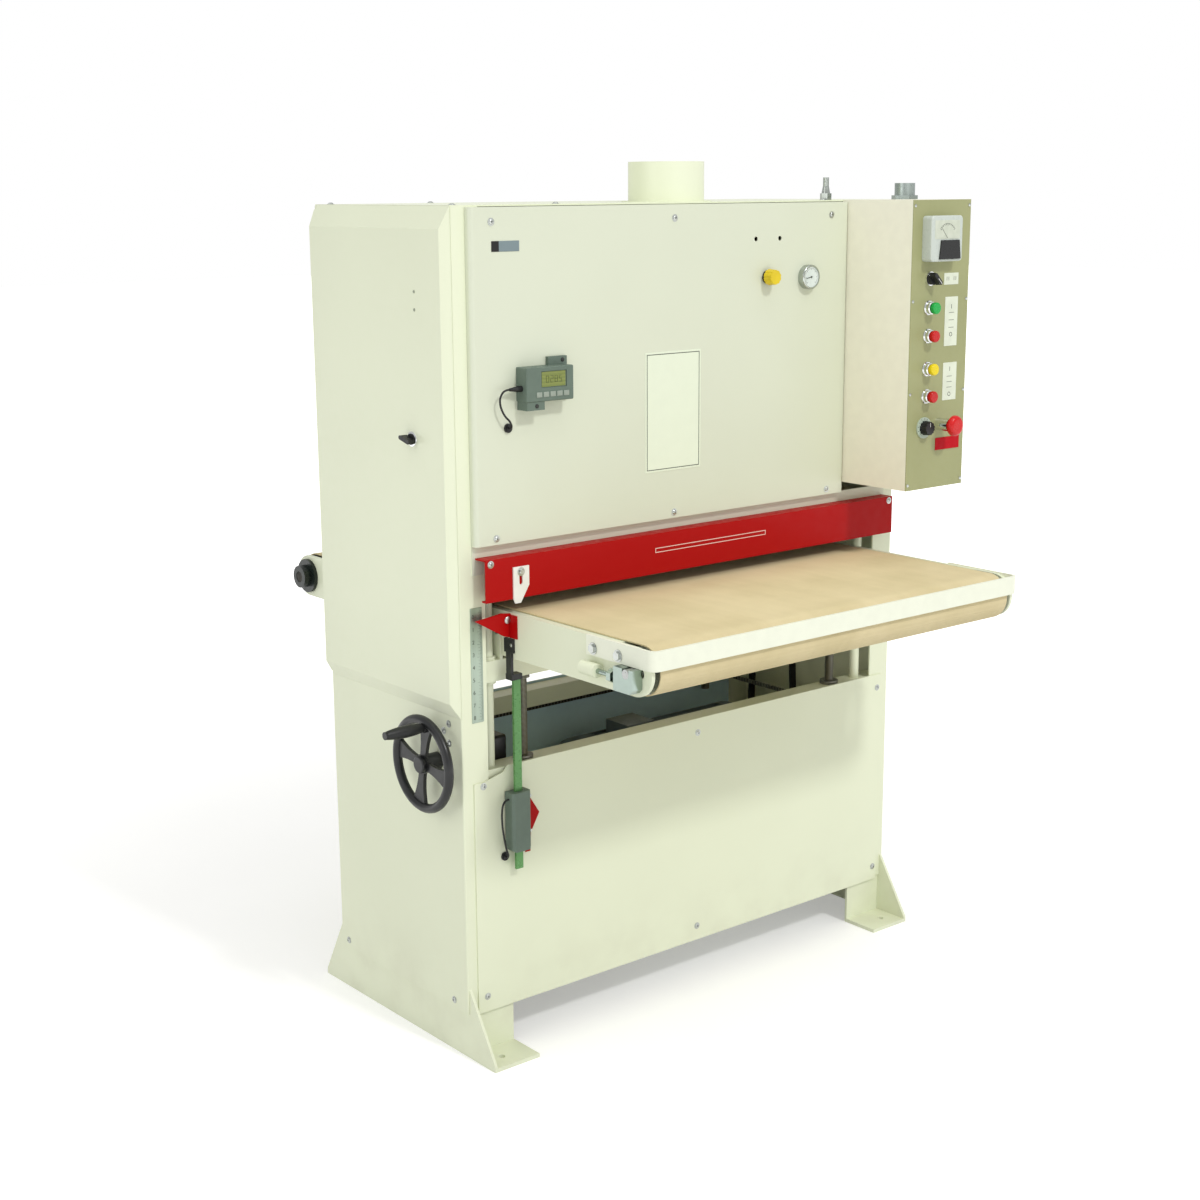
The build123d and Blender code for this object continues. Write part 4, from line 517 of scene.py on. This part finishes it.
# Compressed air: a steel inlet on the roof, a glazed gauge with a chromed rim,
# and the regulator's fluted yellow knob in its black collar.
dress(parted("air_metal", (tint(178, 184, 178), 0.22, 1),
             (lambda x, y, z: (x < 0.25) * (z < 1.6), (tint(22, 23, 23), 0.4, 0))), "air_fittings")
dress(plastic("regulator_yellow", tint(226, 200, 30), roughness=0.36), "regulator_knob")
gauge_centre = Vector((0.304, -0.270, 1.539))
gauge_move = at(gauge_centre, (0, -1, 0))
gauge_face = bmesh.new()
put(gauge_face, turned([(0, 0), (0.0219, 0), (0.0219, 0.0004), (0, 0.0004)], 40), gauge_move)
piece("gauge_face", gauge_face, dial_white, "root")
gauge_marks = bmesh.new()
for step in range(31):
    turn = math.radians(-135 + 9 * step)
    long = 0.0045 if step % 5 == 0 else 0.0022
    put(gauge_marks, block((-0.0003, -0.0006, 0.0192 - long), (0.0003, -0.0004, 0.0192)),
        Matrix.Translation(gauge_centre) @ Matrix.Rotation(turn, 4, "Y"))
put(gauge_marks, block((-0.0006, -0.0012, -0.004), (0.0006, -0.0008, 0.0155)),
    Matrix.Translation(gauge_centre) @ Matrix.Rotation(math.radians(-100), 4, "Y"))
put(gauge_marks, turned([(0, 0), (0.0024, 0), (0.0018, 0.0014), (0, 0.0014)]), gauge_move)
piece("gauge_marks", gauge_marks, mark_ink, "root")


# Digital readout: a grey-green moulded case with a tinted display over a row of keys.
# Two eared feet are screwed to the cover, and its lead goes through a grommet into the cover.
readout_green = plastic("readout_case_plastic", tint(100, 116, 104), roughness=0.5)
dress(readout_green, "readout_case", "reader_head")
display, display_shader, display_place = new_finish("display_glass", Roughness=0.16)
rows = (display_place.axes()[2] * 900).sine()
rows.ramp(-1, 1).blend(tint(112, 124, 46), tint(124, 134, 56)).into(display_shader, "Base Color")
screen = bmesh.new()
put(screen, block((-0.4440, -0.2886, 1.3575), (-0.3860, -0.2880, 1.3865), 0.0002, 1))
piece("readout_display", screen, display, "root")
digit_dark = plastic("digit_dark", tint(74, 84, 34), roughness=0.4)
digits = bmesh.new()
strokes = {"a": ((-1, 2), (1, 2)), "b": ((1, 0), (1, 2)), "c": ((1, -2), (1, 0)), "d": ((-1, -2), (1, -2)),
           "e": ((-1, -2), (-1, 0)), "f": ((-1, 0), (-1, 2)), "g": ((-1, 0), (1, 0))}
for column, lit in enumerate(("abcdef", "abdeg", "abcdefg", "acdfg")):
    centre = -0.4300 + 0.0105 * column
    for name in lit:
        (x0, z0), (x1, z1) = strokes[name]
        put(digits, block((centre + 0.0030 * x0 - 0.0004, -0.28885, 1.3720 + 0.0030 * z0 - 0.0004),
                          (centre + 0.0030 * x1 + 0.0004, -0.2886, 1.3720 + 0.0030 * z1 + 0.0004)))
piece("readout_digits", digits, digit_dark, "root")
keys = bmesh.new()
for column in range(5):
    left = -0.4580 + 0.0165 * column
    put(keys, block((left, -0.2912, 1.3385), (left + 0.0130, -0.2900, 1.3485), 0.0006, 2))
piece("readout_keys", keys, plastic("key_plastic", tint(150, 160, 148)), "root")
case_screws = bmesh.new()
put(case_screws, turned([(0, 0), (0.0042, 0), (0.0040, 0.0014), (0.0026, 0.0022), (0, 0.0023)], 16),
    at((-0.3740, -0.264, 1.4045), (0, -1, 0)), at((-0.4560, -0.288, 1.3220), (0, -1, 0)))
piece("readout_screws", case_screws, recess_dark, "root")

lead_black = plastic("lead_rubber", tint(28, 28, 28), roughness=0.5, grain=0.00004)


def lead(name, node, route):
    """A 4 mm black signal lead along the route of its model, in metres."""
    curve = bpy.data.curves.new(name, "CURVE")
    curve.dimensions = "3D"
    line = curve.splines.new("NURBS")
    line.points.add(len(route) - 1)
    for point, place in zip(line.points, route):
        point.co = (*(value / 1000 for value in place), 1)
    line.order_u = 3
    line.use_endpoint_u = True
    line.resolution_u = 12
    curve.bevel_depth = 0.002
    curve.bevel_resolution = 4
    made = bpy.data.objects.new(name, curve)
    bpy.context.collection.objects.link(made)
    curve.materials.append(lead_black)
    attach(made, "root")
    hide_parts(node)


lead("readout_cord", "readout_lead", (
    (-509, -272, 1356), (-518, -272, 1356), (-527, -272, 1350), (-532, -271, 1338),
    (-529, -271, 1321), (-520, -272, 1305), (-511, -274, 1297), (-504, -272, 1285),
    (-503, -265, 1281), (-503, -259, 1281)))


# Linear scale and reader: a green bar hangs from the table in a black clamp
# and slides through the grey reader head, which a red bracket holds on the skirt.
scale_green = (tint(96, 148, 88), 0.3, 0.25)
dress(parted("scale_bar", scale_green, (lambda x, y, z: z > 0.7838, black_paint)), "linear_scale")
lead("reader_cord", "reader_lead", (
    (-518, -259, 538), (-526, -259, 538), (-533, -259, 530), (-536, -259, 512),
    (-536, -260, 486), (-532, -260, 460), (-526, -259, 434), (-520, -258, 420),
    (-519, -252, 415), (-519, -246, 415)))
reader_details = bmesh.new()
put(reader_details, turned([(0, 0), (0.0040, 0), (0.0038, 0.0014), (0.0024, 0.0022), (0, 0.0023)], 16),
    *[at((x, -0.246, z), (0, -1, 0)) for x, z in ((-0.4560, 0.5300), (-0.4560, 0.4560))])
piece("reader_screws", reader_details, zinc, "root")


# Depth rule: a satin steel rule on the left column that the red pointer reads.
# Long, middle and short strokes every quarter, eighth and sixteenth of an inch.
rule_steel = bare_metal("rule_steel", tint(176, 190, 176), 0.42, grain=(1, 1, 0.05))
rule = bmesh.new()
put(rule, block((-0.590, -0.2414, 0.705), (-0.562, -0.2400, 0.936), 0.0003, 1))
piece("depth_rule", rule, rule_steel, "root")
rule_marks = bmesh.new()
inch = 0.0254
for stroke in range(int(0.222 / inch * 16)):
    long = 0.012 if stroke % 16 == 0 else 0.009 if stroke % 4 == 0 else 0.006 if stroke % 2 == 0 else 0.004
    z = 0.710 + stroke * inch / 16
    put(rule_marks, block((-0.563 - long, -0.2416, z - 0.00018), (-0.563, -0.2414, z + 0.00018)))
for inches in range(9):
    words = bpy.data.curves.new("rule_number", "FONT")
    words.body = str(8 - inches)
    words.size = 0.011
    words.extrude = 0.0001
    number = bpy.data.objects.new("rule_number", words)
    bpy.context.collection.objects.link(number)
    bpy.context.view_layer.update()
    flat = bpy.data.meshes.new_from_object(number.evaluated_get(bpy.context.evaluated_depsgraph_get()))
    flat.transform(Matrix.Translation((-0.5865, -0.2415, 0.712 + inches * inch)) @ Matrix.Rotation(
        math.radians(90), 4, "X"))
    rule_marks.from_mesh(flat)
    bpy.data.meshes.remove(flat)
    bpy.data.objects.remove(number)
piece("depth_rule_marks", rule_marks, mark_ink, "root")


# Plates on the front cover: a small two-tone badge and a white placard with a thin black rim.
# Both are bare, stuck flat on the enamel.
placard_white = plastic("placard_white", tint(228, 236, 214), roughness=0.5, cast=0.985)
placard = bmesh.new()
put(placard, block((-0.155, -0.2566, 1.158), (-0.0035, -0.2560, 1.403), 0.0002, 1))
piece("placard", placard, placard_white, "root")
rim = bmesh.new()
for low, high in (((-0.151, 1.162), (-0.0075, 1.1635)), ((-0.151, 1.3975), (-0.0075, 1.399)),
                  ((-0.151, 1.1635), (-0.1495, 1.3975)), ((-0.009, 1.1635), (-0.0075, 1.3975))):
    put(rim, block((low[0], -0.2568, low[1]), (high[0], -0.2566, high[1])))
piece("placard_rim", rim, mark_ink, "root")
badge = bmesh.new()
put(badge, block((-0.534, -0.2570, 1.6138), (-0.469, -0.2560, 1.6335), 0.0004, 1))
badge_metal, badge_shader, badge_place = new_finish("badge_metal", Metallic=0.2)
split = badge_place.axes()[0].ramp(-0.5175, -0.5165)
split.blend(tint(14, 15, 14), tint(122, 138, 142)).into(badge_shader, "Base Color")
badge_place.noise(90, 2).ramp(0.3, 0.7, 0.3, 0.45).into(badge_shader, "Roughness")
piece("badge", badge, badge_metal, "root")


# Door latch and the small fittings of the left door.
# The latch is a black wing on a steel rose; two small grey plugs close the holes above it.
rose = bmesh.new()
put(rose, turned([(0, 0), (0.0150, 0), (0.0146, 0.0012), (0.0105, 0.0022), (0, 0.0022)], 32),
    at((-0.632, -0.120, 1.258), (-1, 0, 0)))
piece("latch_rose", rose, chrome, "left_door")
plugs = bmesh.new()
put(plugs, turned([(0, 0), (0.0032, 0), (0.0028, 0.0008), (0, 0.0012)], 18),
    *[at((-0.632, -0.140, z), (-1, 0, 0)) for z in (1.540, 1.506)])
piece("door_plugs", plugs, plastic("plug_grey", tint(150, 158, 138)), "left_door")


# Rear panels: sheet steel, screwed to the back of the frame above and below the outfeed.
# They are cream outside, and inside they are painted a pale blue-grey: painted light, made pale to stand in
# for the little light that reaches in.
inside_painted_light = (tint(198, 226, 234), 0.5, 0)
dress(parted("rear_panel_paint_lit_inside", cream_paint, (lambda x, y, z: (y < 0.2406) * (abs(x) < 0.6), inside_painted_light)),
      "rear_panels")


# Handwheel: a spoked iron casting, black enamelled, with a turned black plastic grip.
# The motor's pulley and the gearbox of the lift are castings in the same enamel.
cast_black = enamel("cast_black_enamel", tint(24, 25, 26), roughness=0.34)
dress(cast_black, "handwheel", "motor_pulley", "lift_gearbox")


# Conveyor table: cream side plates and front bar, a tan cloth-faced belt on two rollers,
# take-up yokes with long bolts in front, flange bearings and the gearmotor behind.
belt_tan, belt_shader, belt_place = new_finish("conveyor_cloth", Roughness=0.85, Specular_IOR_Level=0.2)
across, along, _ = belt_place.axes()
cloud = belt_place.noise(7, 5)
streak = belt_place.stretched((1, 0.08, 1)).noise(38, 3)
worn = cloud.ramp(0.3, 0.7) * 0.8 + streak.ramp(0.35, 0.65) * 0.2
coloured = worn.blend(tint(212, 197, 154), tint(224, 209, 168))
speck = belt_place.noise(900, 2).ramp(0.62, 0.72)
(speck * 0.3).blend(coloured, tint(172, 148, 102)).into(belt_shader, "Base Color")
woven = (across * 2600).sine() + (along * 2600).sine()
(woven + belt_place.noise(700, 3) * 2).bump(0.0003, 0.5).into(belt_shader, "Normal")
dress(belt_tan, "conveyor_belt")

bar_paint = (tint(238, 241, 222), 0.36, 0)
dress(parted("front_bar_enamel", bar_paint, (lambda x, y, z: abs(x) > 0.51305, zinc_metal)), "front_bar")
mount_metal = (tint(158, 172, 164), 0.2, 1)
flange_black = (tint(26, 34, 30), 0.3, 0)
dress(parted("mount_metal", mount_metal, (lambda x, y, z: (y > -0.5461) * (y < -0.5019), cream_paint),
             (lambda x, y, z: (y > 0.2) * (x > -0.5385), flange_black)), "roller_mounts")
turned_steel = bare_metal("turned_steel", tint(178, 180, 178), 0.26, grain=(0.06, 1, 1), depth=0.00004)
dress(turned_steel, "infeed_pinch_roller", "outfeed_pinch_roller", "tension_roller", "front_roller")


def rubber(name, colour, roughness=0.7):
    """Ground rubber: matt, dusty in patches, with a fine torn grain."""
    material, shader, place = new_finish(name, Specular_IOR_Level=0.3)
    dusty = place.noise(14, 5).ramp(0.45, 0.75, 0, 0.5)
    dusty.blend(tint(*colour), tint(96, 92, 82)).into(shader, "Base Color")
    place.noise(90, 3).ramp(0.3, 0.7, roughness - 0.08, roughness + 0.12).into(shader, "Roughness")
    place.noise(700, 3).bump(0.0003, 0.5).into(shader, "Normal")
    return material


dress(rubber("roller_rubber", (36, 36, 36)), "rear_roller")

# Bolts and washers that clamp the red pointer and the cheeks of the table to its side plates
table_bolts = bmesh.new()
put(table_bolts, turned([(0, 0), (0.0075, 0), (0.0072, 0.0016), (0.0046, 0.0034), (0, 0.0036)], 20),
    at((-0.5150, -0.2610, 0.9060), (0, -1, 0)))
put(table_bolts, turned([(0, 0), (0.0050, 0), (0.0046, 0.0024), (0.0030, 0.0034), (0, 0.0035)], 18),
    at((-0.5100, -0.268, 0.8560), (-1, 0, 0)))
for side in (-1, 1):
    put(table_bolts, turned([(0, 0), (0.0095, 0), (0.0095, 0.0014), (0.0062, 0.0016), (0.0060, 0.0058),
                             (0.0050, 0.0066), (0, 0.0066)], 20),
        *[at((side * 0.513, y + shift, 0.880), (side, 0, 0))
          for y in (-0.212, 0.212) for shift in (-0.010, 0.010)])
    put(table_bolts, turned([(0, 0), (0.0115, 0), (0.0115, 0.0014), (0, 0.0014)], 24),
        *[at((side * 0.5131, y, 0.898), (side, 0, 0)) for y in (-0.595, -0.523)])
piece("table_bolts", table_bolts, zinc, "table")


# Lift: four screws hang from the table and pass, without turning, through toothed nuts in the decks.
# One roller chain drives the nuts from the sprocket of the handwheel's gearbox. All is oiled steel.
thread_pitch = 0.00254
chain_pitch = 0.00953
thread_steel, thread_shader, thread_place = new_finish("screw_thread", Metallic=1.0)
height = thread_place.axes()[2]
grooves = (height * (2 * math.pi / thread_pitch)).sine()
# The roots of the thread are painted dark and the crests pale: painted shade in the grooves.
grooves.ramp(-1, 1).blend(tint(96, 94, 86), tint(176, 174, 162)).into(thread_shader, "Base Color")
thread_place.noise(60, 3).ramp(0.3, 0.7, 0.28, 0.46).into(thread_shader, "Roughness")
grooves.bump(0.0008, 0.9).into(thread_shader, "Normal")
dress(thread_steel, "lift_screws")
oiled_steel = bare_metal("oiled_steel", tint(142, 140, 132), 0.34, grain=(1, 1, 0.2))
dress(oiled_steel, "sprocket_nut_front_left", "sprocket_nut_front_right", "sprocket_nut_rear_left",
      "sprocket_nut_rear_right", "drive_sprocket")
chain_steel, chain_shader, chain_place = new_finish("chain_steel", Metallic=1.0)
chain_x, chain_y, _ = chain_place.axes()
link_turns = 2 * math.pi / chain_pitch
links = (chain_x * link_turns).sine() + (chain_y * link_turns).sine()
# Darker where the links sink and paler where they rise: painted shade between the links.
links.ramp(-1.2, 1.2).blend(tint(48, 46, 42), tint(150, 146, 134)).into(chain_shader, "Base Color")
chain_place.noise(200, 3).ramp(0.3, 0.7, 0.3, 0.5).into(chain_shader, "Roughness")
links.bump(0.001, 0.8).into(chain_shader, "Normal")
dress(chain_steel, "lift_chain")


# Sanding head: a grooved rubber drum, the pneumatic tension roller, the cloth belt round both,
# and the motor that drives the drum by a flat belt on the right.
drum_cover = (tint(40, 41, 42), 0.7, 0)
dress(parted("drum_rubber", drum_cover, (lambda x, y, z: abs(x) > 0.4850, steel_metal)), "contact_drum")
abrasive, abrasive_shader, abrasive_place = new_finish("abrasive_cloth", Specular_IOR_Level=0.25)
grit = abrasive_place.noise(1500, 3)
grit.ramp(0.35, 0.65).blend(tint(112, 62, 40), tint(158, 96, 62)).into(abrasive_shader, "Base Color")
abrasive_place.noise(30, 3).ramp(0.3, 0.7, 0.78, 0.95).into(abrasive_shader, "Roughness")
grit.bump(0.0004, 0.8).into(abrasive_shader, "Normal")
dress(abrasive, "sanding_belt")
dress(rubber("drive_belt_rubber", (30, 30, 31), roughness=0.6), "drive_belt")
dress(enamel("motor_enamel", tint(92, 104, 112), roughness=0.4), "main_motor", "feed_motor")
